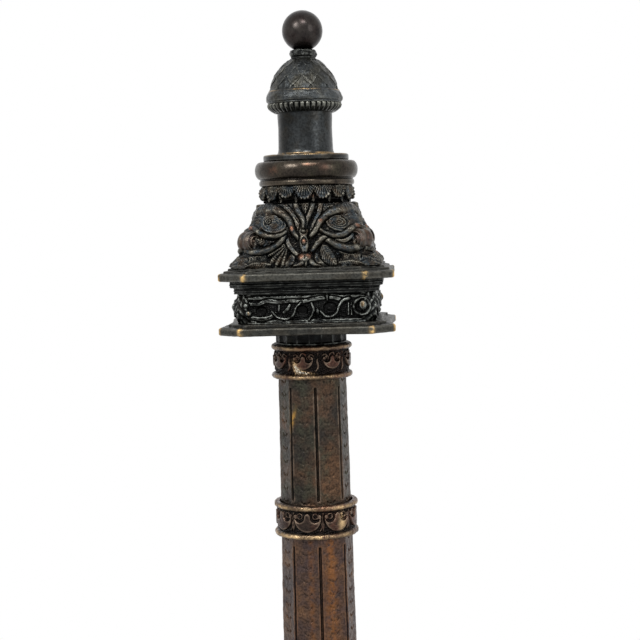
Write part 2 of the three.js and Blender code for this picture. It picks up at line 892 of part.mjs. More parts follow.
function coverDome() {
  const ledge = coverEngage;
  const steps = 4;
  const outside = [];
  const inside = [];
  for (let i = 0; i <= steps; i++) {
    const share = Math.sin((Math.PI * i) / steps / 2);
    const radius = domeRadius(share);
    outside.push([radius, rimTop + domeHeight * share]);
    const height = rimTop + (domeHeight - crownThickness) * share;
    inside.push([Math.max(radius - domeWall, studNutFlats * 0.75), height]);
  }
  return turned([
    [coverBore, gadroonHeight],
    [rimReach - rimEase, gadroonHeight],
    [rimReach, gadroonHeight + rimHeight * 0.15],
    [rimReach - rimTaper, gadroonHeight + rimHeight * 0.6],
    [domeFootRadius + domeLip, gadroonHeight + rimHeight * 0.85],
    ...outside,
    [studRadius + slipFit, domeTop],
    [studRadius + slipFit, domeTop - crownThickness],
    ...inside.reverse(),
    [socketBore, ledge],
    [coverBore, ledge],
  ]);
}

function knobCollar() {
  const points = knobCollarBeads * 2;
  const height = knobCollarHeight - seatGap;
  const beaded = (angle) => knobCollarRadius - beadRelief + beadRelief * Math.cos(knobCollarBeads * angle);
  return loft([
    polarSection(() => knobCollarFoot, seatGap, points),
    polarSection(() => knobCollarWaist, height * 0.2, points),
    polarSection(beaded, height * 0.4, points),
    polarSection(beaded, height * 0.68, points),
    polarSection(() => knobCollarWaist, height * 0.92, points),
    polarSection(() => studRadius + slipFit, height, points),
    polarSection(() => studRadius + slipFit, seatGap, points),
  ]);
}

const knobCollarBottom = domeTop;
const ballBottom = knobCollarBottom + knobCollarHeight;
const ballFlat = 5.6; // radius of the flat where the ball sits on its collar

function ballKnob() {
  const steps = 8;
  const start = Math.asin(ballFlat / ballRadius);
  const centre = ballRadius * Math.cos(start);
  const outline = [];
  for (let i = 0; i <= steps; i++) {
    const angle = start + ((Math.PI - start) * i) / steps;
    const radius = i === steps ? 0 : ballRadius * Math.sin(angle);
    outline.push([radius, centre - ballRadius * Math.cos(angle)]);
  }
  const hole = studRadius + slipFit;
  const drilling = [
    [0, studDepth + seatGap],
    [hole, studDepth + seatGap],
    [hole, 0],
  ];
  return turned([...drilling, ...outline], ballSides);
}

const studNutTop = domeTop - crownThickness - seatGap;
const studBottom = studNutTop - studNutHeight - studProud;
const studTop = ballBottom + studDepth;

// Assembly

const model = new THREE.Group();

function add(parent, name, geometry, finish, x, y, z) {
  const mesh = new THREE.Mesh(geometry, new THREE.MeshStandardMaterial(finishes[finish]));
  mesh.name = name;
  mesh.position.set(x, y, z);
  parent.add(mesh);
  return mesh;
}

function buildFoot() {
  const foot = new THREE.Group();
  const hole = footScrewRadius + slipFit;
  const plateHoles = [[0, 0, rodHole], ...footSpots.map(([x, y]) => [x, y, hole])];
  footSpots.forEach(([x, y], i) => {
    add(foot, `foot_${i + 1}`, bunFoot(), "patina", x, y, 0);
    add(foot, `foot_screw_${i + 1}`, footScrew(), "steel", x, y, footScrewRecess);
  });
  const basePlate = drilledPlate(
    basePlateWidth,
    basePlateCut,
    basePlateHollow,
    basePlateThickness - seatGap,
    plateHoles,
  );
  add(foot, "base_plate", basePlate, "patina", 0, 0, footTop);
  add(foot, "base_skirt", skirt(), "patina", 0, 0, skirtBottom);

  const weightWidth = baseFriezeWidth - 2 * baseWall - 2 * weightMargin;
  const weight = drilledPlate(weightWidth, baseFriezeCut, 0, weightHeight, [[0, 0, rodHole]]);
  add(foot, "base_weight", weight, "iron", 0, 0, skirtBottom);

  const friezeBlock = frieze({
    width: baseFriezeWidth,
    cut: baseFriezeCut,
    bulge: baseFriezeBulge,
    height: baseFriezeHeight - seatGap,
    wall: baseWall,
    boss: bossRadius * 1.5,
    recess: panelRecess,
  });
  add(foot, "base_frieze", friezeBlock, "patina", 0, 0, baseFriezeBottom);

  const lip = moulding(
    baseMouldingWidth,
    baseMouldingLowerWidth,
    baseFriezeCut,
    baseMouldingHeight - seatGap,
    baseMouldingLowerWidth / 2 - baseBodyCavity / 2,
  );
  add(foot, "base_moulding", lip, "patina", 0, 0, baseMouldingBottom);

  const topPlate = steppedPlate(
    baseTopPlateWidth,
    baseTopPlateCut,
    baseTopPlateHollow,
    baseTopPlateThickness,
    [[baseStepWidth, baseStepHeight - seatGap]],
  );
  add(foot, "base_top_plate", topPlate, "patina", 0, 0, baseTopPlateBottom);
  add(foot, "base_body", baseBody(), "patina", 0, 0, baseBodyBottom);
  add(foot, "base_collar", baseCollar(), "patina", 0, 0, baseCollarBottom);
  return foot;
}

function buildColumn() {
  const column = new THREE.Group();
  const step = bandHeight + shaftLength;
  for (let i = 0; i <= shaftCount; i++) {
    const bandBottom = neckBottom - bandHeight - i * step;
    add(column, `band_${i + 1}`, band(bandBottom), "column", 0, 0, bandBottom);
    if (i === shaftCount) break;
    const shaftBottom = bandBottom - shaftLength;
    const headroom = (i === 0 ? bandHeight : bandHeight / 2) - seatGap;
    const footroom = i === shaftCount - 1 ? bandHeight : bandHeight / 2;
    const tubeBottom = shaftBottom - footroom;
    add(column, `shaft_${i + 1}`, shaft(tubeBottom, headroom, footroom), "column", 0, 0, tubeBottom);
  }
  add(column, "column_neck", neck(), "patina", 0, 0, neckBottom);
  return column;
}

function buildCapital() {
  const capital = new THREE.Group();
  const lowerPlate = steppedPlate(plateWidth, lowerPlateCut, plateHollow, lowerPlateThickness, [
    [lowerStepWidth, lowerStepHeight - seatGap],
  ]);
  add(capital, "lower_plate", lowerPlate, "patina", 0, 0, lowerPlateBottom);
  const friezeBlock = frieze({
    width: friezeWidth,
    cut: friezeCut,
    bulge: friezeBulge,
    height: friezeHeight - seatGap,
    wall: friezeWall,
    boss: bossRadius,
    recess: panelRecess,
  });
  add(capital, "frieze_block", friezeBlock, "patina", 0, 0, friezeBottom);
  const lip = moulding(
    mouldingWidth,
    mouldingLowerWidth,
    plateCut / 2,
    2 * mouldingHeight - seatGap,
    friezeWall,
  );
  add(capital, "upper_moulding", lip, "patina", 0, 0, mouldingBottom);
  const upperPlate = steppedPlate(plateWidth, plateCut, plateHollow, upperPlateThickness, [
    [upperStepWidth, upperStepHeight],
    [upperSecondStepWidth, upperStepHeight - seatGap],
  ]);
  add(capital, "upper_plate", upperPlate, "patina", 0, 0, upperPlateBottom);
  add(capital, "capital_body", capitalBody(), "patina", 0, 0, capitalBottom);
  add(capital, "leaf_collar", leafCollar(), "patina", 0, 0, leafCollarBottom);
  add(capital, "torus_collar", torusCollar(), "patina", 0, 0, torusBottom);
  add(capital, "drip_flange", dripFlange(), "patina", 0, 0, flangeBottom);
  add(capital, "candle_socket", candleSocket(), "patina", 0, 0, socketBottom);
  add(capital, "candle_seat", candleSeat(), "patina", 0, 0, topWasherBottom);
  return capital;
}

function buildTieRod() {
  const tie = new THREE.Group();
  const length = rodTop - rodBottom;
  const rod = new THREE.CylinderGeometry(rodRadius, rodRadius, length, smallSides).rotateX(Math.PI / 2);
  const washerHole = bore(rodHole, smallSides);
  const washer = () => ringDisc(washerRadius, washerHole, washerThickness - seatGap, smallSides);
  const nut = () => hexNut(nutFlats, rodHole, nutHeight - seatGap);
  add(tie, "tie_rod", rod, "steel", 0, 0, rodBottom + length / 2);
  add(tie, "top_washer", washer(), "steel", 0, 0, topWasherBottom + seatGap / 2);
  add(tie, "top_nut", nut(), "steel", 0, 0, topNutBottom);
  add(tie, "bottom_washer", washer(), "steel", 0, 0, footTop - washerThickness);
  add(tie, "bottom_nut", nut(), "steel", 0, 0, bottomNutBottom);
  return tie;
}

function buildCover() {
  const cover = new THREE.Group();
  cover.position.z = coverBottom;
  add(cover, "gadroon_ring", gadroonRing(), "patina", 0, 0, 0);
  add(cover, "cover_dome", coverDome(), "patina", 0, 0, 0);
  add(cover, "knob_collar", knobCollar(), "patina", 0, 0, knobCollarBottom);
  add(cover, "ball_knob", ballKnob(), "patina", 0, 0, ballBottom);
  const length = studTop - studBottom;
  const stud = new THREE.CylinderGeometry(studRadius, studRadius, length, smallSides).rotateX(Math.PI / 2);
  add(cover, "knob_stud", stud, "steel", 0, 0, studBottom + length / 2);
  const nut = hexNut(studNutFlats, studRadius + slipFit, studNutHeight);
  add(cover, "knob_nut", nut, "steel", 0, 0, studNutTop - studNutHeight);
  return cover;
}

model.add(buildFoot(), buildColumn(), buildCapital(), buildTieRod(), buildCover());

export default model;
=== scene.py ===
"""Looks of the paschal candlestick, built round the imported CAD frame.

Shapes are worked out in millimetres and written to meshes in metres. Carved ornament is a height laid over
a fine grid, so its tops lie on the CAD surface and its ground lies below.
"""
from math import cos, pi, radians, sin, tau

import bpy
import numpy as np
from mathutils import Matrix, Vector


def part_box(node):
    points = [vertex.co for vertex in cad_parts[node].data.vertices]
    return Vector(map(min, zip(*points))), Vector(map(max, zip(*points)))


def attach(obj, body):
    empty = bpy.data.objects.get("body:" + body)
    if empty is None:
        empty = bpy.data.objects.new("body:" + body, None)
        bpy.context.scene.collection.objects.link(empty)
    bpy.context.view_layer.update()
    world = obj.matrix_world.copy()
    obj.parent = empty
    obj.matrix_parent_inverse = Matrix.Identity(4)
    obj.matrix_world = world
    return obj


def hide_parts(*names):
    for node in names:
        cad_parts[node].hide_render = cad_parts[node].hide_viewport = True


MM = 0.001

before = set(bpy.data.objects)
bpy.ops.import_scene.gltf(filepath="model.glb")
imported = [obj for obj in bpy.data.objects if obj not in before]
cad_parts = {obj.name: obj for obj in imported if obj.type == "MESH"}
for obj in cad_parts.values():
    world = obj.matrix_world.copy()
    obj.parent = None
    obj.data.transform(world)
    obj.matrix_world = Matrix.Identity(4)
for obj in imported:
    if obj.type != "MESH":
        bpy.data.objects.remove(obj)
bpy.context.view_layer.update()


def low(node):
    """Lowest height of a CAD node, in millimetres."""
    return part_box(node)[0][2] / MM


def high(node):
    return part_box(node)[1][2] / MM


def span(node):
    """Lowest height of a CAD node, and how tall it is."""
    return low(node), high(node) - low(node)


# Grids

# A grid is rows x columns x 3 points. Its columns go round Z, its rows up the outside and down the inside.


def blurred(grid, sigma, like=None):
    """Gaussian blur of a grid that wraps both ways, or of values over the grid like."""
    like, keep = grid if like is None else like, 1.0
    for axis in (0, 1):
        step = max(np.linalg.norm(np.diff(like, axis=axis), axis=2).mean(), 1e-3)
        waves = np.fft.fftfreq(grid.shape[axis]) * (sigma / step)
        keep = keep * np.exp(-2 * pi**2 * waves**2).reshape((-1, 1) if axis == 0 else (1, -1))
    if grid.ndim == 3:
        keep = keep[..., None]
    return np.fft.ifft2(np.fft.fft2(grid, axes=(0, 1)) * keep, axes=(0, 1)).real


def faded(grid, mask, sigma=0.3):
    """1 where the mask is true, with soft edges."""
    return blurred(mask.astype(float), sigma, grid)


def normals(grid):
    along = np.roll(grid, -1, 1) - np.roll(grid, 1, 1)
    up = np.roll(grid, -1, 0) - np.roll(grid, 1, 0)
    across = np.cross(along, up)
    return across / np.maximum(np.linalg.norm(across, axis=2, keepdims=True), 1e-9)


def lifted(grid, height):
    """Each point moved along the surface normal by height."""
    return grid + normals(grid) * height[..., None]


def lumps(grid, size, amount, seed):
    """Smooth random height over a grid, with lumps of about this size."""
    noise = np.random.default_rng(seed).standard_normal(grid.shape[:2])
    soft = blurred(noise, size / 2, grid)
    return soft * (amount / max(soft.std(), 1e-9))


def softened(points, times):
    for _ in range(times):
        points = 0.25 * np.roll(points, 1, 0) + 0.5 * points + 0.25 * np.roll(points, -1, 0)
    return points


def round_angles(count):
    return np.arange(count) * tau / count


def stacked(sections, angle, step=0.6, soft=2, bottom=0.0):
    """A closed loop of sections in equal steps. Each is a height and a radius for every column angle."""
    loop = np.array([[height, *np.broadcast_to(radius, angle.shape)] for height, radius in sections])
    loop = np.vstack([loop, loop[:1]])
    lengths = np.hypot(np.diff(loop[:, 1:].mean(1)), np.diff(loop[:, 0]))
    place = np.concatenate([[0], np.cumsum(np.maximum(lengths, 1e-6))])
    at = np.linspace(0, place[-1], max(8, round(place[-1] / step)), endpoint=False)
    where = np.searchsorted(place, at, side="right") - 1
    share = ((at - place[where]) / (place[where + 1] - place[where]))[:, None]
    profile = softened(loop[where] * (1 - share) + loop[where + 1] * share, soft)
    height, radius = profile[:, :1], profile[:, 1:]
    level = np.broadcast_to(height + bottom, radius.shape)
    return np.stack([radius * np.cos(angle), radius * np.sin(angle), level], 2)


def turned(outline, columns, step=0.6, soft=2, bottom=0.0):
    """A closed outline of [radius, height] points turned about Z."""
    sections = [(height, radius) for radius, height in outline]
    return stacked(sections, round_angles(columns), step, soft, bottom)


def turned_on(node, outline, columns, step=0.6, soft=2):
    """An outline turned about Z on a CAD node's base, with what polar says of it."""
    grid = turned(outline, columns, step, soft, low(node))
    return grid, *polar(grid, low(node))


def polar(grid, base=0.0):
    """Angle round Z, radius and height over base of each point."""
    x, y, z = np.moveaxis(grid, 2, 0)
    return np.arctan2(y, x), np.hypot(x, y), z - base


def face_angles(per_side):
    """Column angles, spaced evenly along the sides of a square. The sides face -Y, +X, +Y and -X."""
    across = np.linspace(-1, 1, per_side, endpoint=False)
    return np.concatenate([np.arctan(across) - pi / 2 + side * pi / 2 for side in range(4)])


def off_middle(angle):
    """Angle from the middle of the nearest side of a square."""
    return (angle + pi / 4) % (pi / 2) - pi / 4


def off_corner(angle):
    return pi / 4 - np.abs(off_middle(angle))


def square_radius(angle, width, cut, hollow=0.0):
    """Radius of a square with cut corners and sides drawn in by hollow."""
    turn = off_middle(angle)
    half = width / 2
    reach = np.full_like(turn, half)
    for _ in range(6):
        share = np.clip(np.tan(turn) * reach / (half - cut), -1, 1)
        reach = half - hollow * (1 - share**2)
    corner = (2 * half - cut) / (np.cos(turn) + np.abs(np.sin(turn)))
    return np.minimum(reach / np.cos(turn), corner)


def half_round(radius, rise, base, height, turns):
    """Outline points of a bead that stands out by rise over a height."""
    return [[radius + rise * sin(turn), base + height * (1 - cos(turn)) / 2] for turn in turns]


# Carving


def spline(points, per_span=7):
    """A smooth line through the points."""
    p = np.array(points, float)
    p = np.vstack([2 * p[0] - p[1], p, 2 * p[-1] - p[-2]])
    t = np.linspace(0, 1, per_span, endpoint=False)[:, None]
    spans = [
        0.5 * (2 * b + (c - a) * t + (2 * a - 5 * b + 4 * c - d) * t**2 + (3 * b - a - 3 * c + d) * t**3)
        for a, b, c, d in zip(p[:-3], p[1:-2], p[2:-1], p[3:])
    ]
    return np.vstack(spans + [p[-2:-1]])


def smooth(value):
    """A soft step from 0 to 1 as value goes from 0 to 1."""
    value = np.clip(value, 0, 1)
    return value * value * (3 - 2 * value)


class Carving:
    """Height of ornament over places x, v in millimetres. 0 is the surface, and copper is bare metal."""

    def __init__(self, x, v, ground):
        self.x, self.v, self.ground = x, v, ground
        self.height = np.full(np.broadcast(x, v).shape, float(ground))
        self.copper = np.zeros(self.height.shape)

    def lay(self, distance, half_width, rise, gap, detail=0.0):
        """Lays a round-topped form where distance is under half_width, with a cut round it."""
        inside = distance < half_width
        ring = (distance < half_width + gap) & ~inside
        self.height = np.where(ring, np.minimum(self.height, self.ground), self.height)
        crown = np.sqrt(np.clip(1 - np.abs(distance / np.maximum(half_width, 1e-6)) ** 2.2, 0, 1))
        raised = self.ground + rise * (0.2 + 0.8 * crown) + detail * crown
        self.height = np.where(inside, raised, self.height)

    def off(self, centre):
        return self.x - centre[0], self.v - centre[1]

    def follow(self, points):
        """Distance from a smooth line, place along it from 0 to 1, side, and its length."""
        line = spline(points)
        spans = np.diff(line, axis=0)
        lengths = np.hypot(*spans.T)
        starts = np.concatenate([[0], np.cumsum(lengths)])
        best = np.full(self.height.shape, 1e9)
        along = np.zeros_like(best)
        side = np.zeros_like(best)
        for (ax, ay), (sx, sy), length, start in zip(line[:-1], spans, lengths, starts):
            dx, dy = self.off((ax, ay))
            share = np.clip((dx * sx + dy * sy) / max(length**2, 1e-9), 0, 1)
            gap = np.hypot(dx - share * sx, dy - share * sy)
            nearer = gap < best
            best = np.where(nearer, gap, best)
            along = np.where(nearer, start + share * length, along)
            side = np.where(nearer, np.sign(sx * dy - sy * dx), side)
        return best, along / starts[-1], side, starts[-1]

    def stem(self, points, widths, rise, grooves=0, gap=0.6):
        """A round stem. The widths are half widths, spread evenly along it."""
        distance, along, side, _ = self.follow(points)
        half_width = np.interp(along, np.linspace(0, 1, len(widths)), widths)
        detail = 0.0
        if grooves:
            detail = -0.45 * (0.5 - 0.5 * np.cos(tau * grooves * (distance * side / half_width + 1) / 2))
        self.lay(distance, half_width, 0.9 * rise, gap, detail)

    def leaf(self, points, half_width, rise, vein=2.4, lobes=0):
        """A pointed leaf with a midrib and slanted veins."""
        distance, along, _, length = self.follow(points)
        width = half_width * np.sin(pi * np.clip(along, 0.001, 0.999) ** 0.8) ** 0.55
        if lobes:
            width = width * (0.86 + 0.14 * np.cos(tau * lobes * along))
        ribs = 0.5 * np.cos(tau * (along * length - 0.8 * distance) / vein) * np.clip(distance / 0.8, 0, 1)
        midrib = 0.8 * np.exp(-((distance / 0.55) ** 2))
        self.lay(distance, width, rise, 0.9, ribs + midrib - 0.3)

    def fan(self, centre, reach, spread, rise, folds, line):
        """Folds that open from centre between two angles in degrees. line is the pitch of their rings."""
        dx, dy = self.off(centre)
        radius = np.hypot(dx, dy)
        turn = (np.degrees(np.arctan2(dy, dx)) - spread[0]) / (spread[1] - spread[0])
        fold = np.abs(np.sin(pi * folds * turn))
        edge = reach * (0.84 + 0.16 * fold)
        inside = (turn > 0) & (turn < 1) & (radius < edge)
        body = np.sqrt(np.clip(1 - (radius / edge) ** 6, 0, 1)) * (0.45 + 0.55 * fold**0.5)
        rings = 0.35 * np.cos(tau * (radius / line - 0.6 * fold))
        self.height = np.where(inside, self.ground + rise * body + rings, self.height)

    def oval(self, centre, reach, rise, gap=0.9, rings=0.0, tilt=0.0):
        """A domed oval, with concentric rings if rings is their spacing."""
        dx, dy = self.off(centre)
        across = dx * cos(tilt) + dy * sin(tilt)
        upward = dy * cos(tilt) - dx * sin(tilt)
        share = np.hypot(across / reach[0], upward / reach[1])
        scale = (reach[0] + reach[1]) / 2
        detail = -0.8 * (0.5 - 0.5 * np.cos(tau * share * scale / rings)) if rings else 0.0
        self.lay(share * scale, scale, rise, gap, detail)

    def hole(self, centre, radius, depth):
        distance = np.hypot(*self.off(centre))
        sink = 1 / (1 + np.exp((distance - radius) / 0.35))
        self.height = self.height * (1 - sink) + (self.ground - depth) * sink

    def ring(self, centre, radius, half_width, rise, gap=0.8):
        self.lay(np.abs(np.hypot(*self.off(centre)) - radius), half_width, rise, gap)

    def dark(self, level):
        """Painted shade where the height is low: the hollows are blacked as if in shade, up to 0.9."""
        return 0.9 * smooth((level - self.height) / 0.8)

    def bare(self, *spots):
        """Rubs places down to bright metal. A spot is x, v and its radius."""
        for *centre, radius in spots:
            self.copper = np.maximum(self.copper, smooth(1.3 - np.hypot(*self.off(centre)) / radius))


# Materials


class Shading:
    """The nodes of a material or of the world, and the colour that its coats have come to."""

    def __init__(self, owner, colour=None):
        owner.use_nodes = True
        self.owner, self.colour = owner, colour
        self.nodes, self.link = owner.node_tree.nodes, owner.node_tree.links.new

    def feed(self, socket, value):
        """Gives a socket a number, a linear colour or another node's output."""
        if isinstance(value, bpy.types.NodeSocket):
            self.link(value, socket)
        else:
            socket.default_value = (*value, 1) if isinstance(value, tuple) else value

    def add(self, kind, inputs, **settings):
        """The outputs of a new node."""
        node = self.nodes.new("ShaderNode" + kind)
        for name, value in settings.items():
            setattr(node, name, value)
        for key, value in inputs.items():
            self.feed(node.inputs[key], value)
        return node.outputs

    def place(self):
        return self.add("TexCoord", {})["Object"]

    def noise(self, scale, detail=4, roughness=0.55):
        inputs = {"Vector": self.place(), "Scale": scale, "Detail": detail, "Roughness": roughness}
        return self.add("TexNoise", inputs)["Fac"]

    def ramp(self, value, low_at, high_at):
        """A value from 0 at low_at to 1 at high_at."""
        return self.add("MapRange", {"Value": value, "From Min": low_at, "From Max": high_at})["Result"]

    def spots(self, scale, low_at, high_at, detail=4, roughness=0.55):
        return self.ramp(self.noise(scale, detail, roughness), low_at, high_at)

    def times(self, a, b):
        return self.add("Math", {0: a, 1: b}, operation="MULTIPLY")["Value"]

    def attribute(self, name):
        return self.add("Attribute", {}, attribute_name=name)["Fac"]

    def coat(self, colour, share, amount=1.0):
        """Lays a linear colour over the one so far, where share is 1."""
        inputs = {"Factor": self.times(share, amount), 6: self.colour, 7: colour}
        self.colour = self.add("Mix", inputs, data_type="RGBA")[2]

    def metal(self, metallic, mottle, gloss, grain, depth, relief):
        """The finished material. Roughness runs over gloss with mottle, and relief bumps it by depth."""
        rough = self.add("MapRange", {"Value": mottle, "To Min": gloss[0], "To Max": gloss[1]})["Result"]
        normal = self.add("Bump", {"Strength": grain, "Distance": depth, "Height": relief})["Normal"]
        surface = self.nodes["Principled BSDF"].inputs
        values = {"Base Color": self.colour, "Metallic": metallic, "Roughness": rough, "Normal": normal}
        for label, value in values.items():
            self.feed(surface[label], value)
        return self.owner


def linear(colour):
    """A linear colour from sRGB values of 0 to 255."""
    shares = [c / 255 for c in colour]
    return tuple(((s + 0.055) / 1.055) ** 2.4 if s > 0.04 else s / 12.92 for s in shares)


BLACK, CHALK = linear((9, 9, 9)), linear((226, 224, 212))
GOLD, ROSE, OCHRE, RUST = (196, 160, 106), (138, 98, 78), (176, 134, 66), (138, 88, 44)
BRASS, STRAW = (232, 192, 124), (214, 182, 136)
CAST_GLOSS, SMOOTH_SKIN, CAST_SKIN = (0.24, 0.46), (0.14, 260), (0.6, 460)


def bronze(name, dark, pale, third, bright, gloss=CAST_GLOSS, skin=CAST_SKIN, tint=GOLD, patch=24):
    """Cast bronze: three patinas in patches, crests lightened as partly rubbed metal and partly painted
    highlight, bare metal, painted shade that blacks the crevices, and a rough skin.

    dark, pale and third are the patinas, and bright is the crests' colour, partly rubbed metal and partly
    painted highlight. gloss is the range of roughness, skin the strength and scale of the bumps, patch the
    scale of the patches, and tint the bare metal, which turns to a chalky scrape where copper is over 1.
    """
    dark, pale, third, bright = (linear(colour) for colour in (dark, pale, third, bright))
    look = Shading(bpy.data.materials.new(name), dark)
    look.coat(pale, look.spots(patch, 0.38, 0.64))
    look.coat(third, look.spots(patch * 2.3, 0.46, 0.62, 5), 0.8)
    mottle = look.spots(260, 0.35, 0.7)
    look.coat(dark, mottle, 0.45)
    look.coat(BLACK, look.spots(620, 0.42, 0.62, 2), 0.5)
    # Crests lightened by the edge attribute: partly rubbed metal, partly painted highlight.
    look.coat(bright, look.attribute("edge"), look.spots(150, 0.34, 0.6, 3))
    copper, flake = look.attribute("copper"), look.spots(210, 0.36, 0.56, 5, 0.65)
    look.coat(linear(tint), copper, flake)
    look.coat(CHALK, look.ramp(copper, 1, 2), flake)
    # Painted shade: the depth attribute blacks hollows and shaded places.
    look.coat(BLACK, look.attribute("depth"))
    return look.metal(0.9, mottle, gloss, skin[0], 0.0008, look.noise(skin[1], 6, 0.6))


def plain_metal(name, colour, metallic, gloss, grain, scale=1500):
    """Hardware steel or rough iron."""
    look = Shading(bpy.data.materials.new(name), colour)
    mottle = look.spots(160, 0.35, 0.65)
    look.coat(tuple(c * 0.7 for c in colour), mottle)
    return look.metal(metallic, mottle, gloss, grain, 0.0003, look.noise(scale))


DARK_GLOSS, SHAFT_GLOSS, SHAFT_SKIN = (0.26, 0.4), (0.32, 0.56), (0.6, 420)
# Three patinas, the crests' colour (partly rubbed metal, partly painted highlight) and, where they differ
# from the default, gloss, skin, tint and patch.
BRONZES = {
    "ball_brown": ((26, 23, 24), (46, 41, 40), (44, 35, 33), (80, 76, 72), (0.24, 0.34), SMOOTH_SKIN),
    "dark_smooth": ((28, 30, 31), (66, 69, 70), (46, 42, 35), (98, 96, 90), DARK_GLOSS, SMOOTH_SKIN),
    "dark_leafy": ((40, 42, 42), (82, 86, 88), (66, 62, 50), (98, 98, 92), (0.26, 0.44)),
    "dark_cast": (
        (26, 28, 28), (60, 68, 74), (74, 60, 45), (96, 93, 84), (0.24, 0.44), CAST_SKIN, ROSE, 60,
    ),
    "dark_plate": (
        (52, 52, 49), (82, 82, 77), (66, 62, 54), (104, 101, 93), (0.34, 0.55), (0.35, 500), BRASS,
    ),
    "black_cast": ((11, 12, 12), (34, 37, 37), (30, 27, 22), (124, 127, 122)),
    # Gadroon bronze darker than the dome's: painted shade under the dome's rim.
    "shaded_gadroon": ((24, 25, 24), (56, 58, 56), (44, 42, 36), (118, 118, 110), CAST_GLOSS, SMOOTH_SKIN),
    "torus_brown": (
        (46, 41, 37), (82, 74, 64), (64, 61, 50), (110, 98, 84), (0.22, 0.36), SMOOTH_SKIN, ROSE,
    ),
    "brown_upper": (
        (50, 46, 42), (96, 71, 52), (66, 66, 54), (96, 82, 70), SHAFT_GLOSS, SHAFT_SKIN, OCHRE, 34,
    ),
    "brown_lower": (
        (66, 56, 54), (114, 84, 60), (74, 62, 62), (108, 80, 62), SHAFT_GLOSS, SHAFT_SKIN, RUST, 34,
    ),
    "band_brown": ((48, 38, 34), (106, 68, 54), (60, 52, 46), (112, 96, 82), CAST_GLOSS, CAST_SKIN, STRAW),
}
METALS = {name: bronze(name, *form) for name, form in BRONZES.items()}
METALS["steel_hardware"] = plain_metal("steel_hardware", (0.35, 0.36, 0.38), 1.0, (0.3, 0.45), 0.15)
METALS["rough_iron"] = plain_metal("rough_iron", (0.045, 0.045, 0.048), 0.6, (0.6, 0.85), 0.6, 500)


# Pieces


def faces_of(grid, start):
    """Quads of a grid that wraps both ways."""
    rows, columns = grid.shape[:2]
    row = np.arange(rows)[:, None]
    column = np.arange(columns)[None, :]
    next_row = (row + 1) % rows
    next_column = (column + 1) % columns
    corners = (row, column), (row, next_column), (next_row, next_column), (next_row, column)
    quads = [np.broadcast_to(r * columns + c, (rows, columns)) for r, c in corners]
    return np.stack(quads, 2).reshape(-1, 4) + start


def rub_highlight_and_shade_of(grid):
    """How far each point stands over its close surroundings and lies below its wide ones, from 0 to 1. The
    first lightens crests, partly as rubbed metal and partly as painted highlight; the second is painted
    shade in hollows.
    """
    outward = normals(grid)
    edge = ((grid - blurred(grid, 0.9)) * outward).sum(2)
    depth = ((blurred(grid, 2.6) - grid) * outward).sum(2)
    return np.clip((edge - 0.05) / 0.3, 0, 1), np.clip((depth - 0.15) / 1.1, 0, 1)


def needed_rows(grid):
    """Rows of a grid that its shape needs. Straight stretches keep one row in five."""
    bend = np.abs(np.roll(grid, 1, 0) - 2 * grid + np.roll(grid, -1, 0)).max((1, 2)) / 2
    return np.flatnonzero((bend > 0.004) | (np.arange(len(grid)) % 5 == 0))


def piece(node, grids, material, body="stand", copper=0.0, dark=0.0):
    """One object made of closed grids, for a CAD node.

    copper is where the first grid's metal is bare, and on the torus also a painted highlight streak. dark
    is where it is blacked: mostly painted shade in hollows and under overhangs, and on a few pieces their
    darker tone, each from 0 to 1. The other grids are slightly worn all over.
    """
    start, points, faces = 0, [], []
    # edge lightens crests (partly rubbed metal, partly painted highlight), depth is mostly painted shade,
    # copper is bare metal.
    wear = {"edge": [], "depth": [], "copper": []}
    for grid in grids:
        rows = needed_rows(grid)
        edge, depth = rub_highlight_and_shade_of(grid)
        points.append(grid[rows].reshape(-1, 3))
        faces.append(faces_of(grid[rows], start))
        start += len(points[-1])
        layers = edge, np.maximum(depth, dark), np.broadcast_to(copper, edge.shape)
        for values, layer in zip(wear.values(), layers):
            values.append(layer[rows].ravel())
        copper, dark = 0.15, 0.0
    points, faces = np.vstack(points) * MM, np.vstack(faces)
    name = "look_" + node
    mesh = bpy.data.meshes.new(name)
    mesh.vertices.add(len(points))
    mesh.vertices.foreach_set("co", points.ravel())
    mesh.loops.add(faces.size)
    mesh.loops.foreach_set("vertex_index", faces.ravel().astype(np.int32))
    mesh.polygons.add(len(faces))
    mesh.polygons.foreach_set("loop_start", (np.arange(len(faces)) * 4).astype(np.int32))
    mesh.polygons.foreach_set("use_smooth", np.ones(len(faces), bool))
    mesh.update(calc_edges=True)
    for label, values in wear.items():
        layer = mesh.attributes.new(label, "FLOAT", "POINT")
        layer.data.foreach_set("value", np.concatenate(values).astype(np.float32))
    mesh.materials.append(METALS[material])
    obj = bpy.data.objects.new(name, mesh)
    bpy.context.collection.objects.link(obj)
    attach(obj, body)
    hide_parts(node)


# Cover

cover_base = low("gadroon_ring")


def on_outside(grid, inner_radius):
    """1 on the outside of a turned grid and 0 in its bore."""
    _, radius, _ = polar(grid)
    return np.clip((radius - inner_radius) / 0.6, 0, 1)


def bump(value, middle, width):
    """A soft hump of 1 round the middle."""
    return np.exp(-(((value - middle) / width) ** 2))


def build_ball():
    base, radius = low("ball_knob"), 16.5
    centre = high("ball_knob") - radius
    turns = np.linspace(np.arccos((centre - base) / radius), pi - 0.002, 60)
    outline = [[0.02, base + 14.1], [3.3, base + 14.1], [3.3, base]]
    outline += [[radius * sin(turn), centre - radius * cos(turn)] for turn in turns]
    grid = turned(outline, 120, 0.7, 1)
    piece("ball_knob", [lifted(grid, lumps(grid, 9, 0.04, 1) * on_outside(grid, 5))], "ball_brown", "cover")


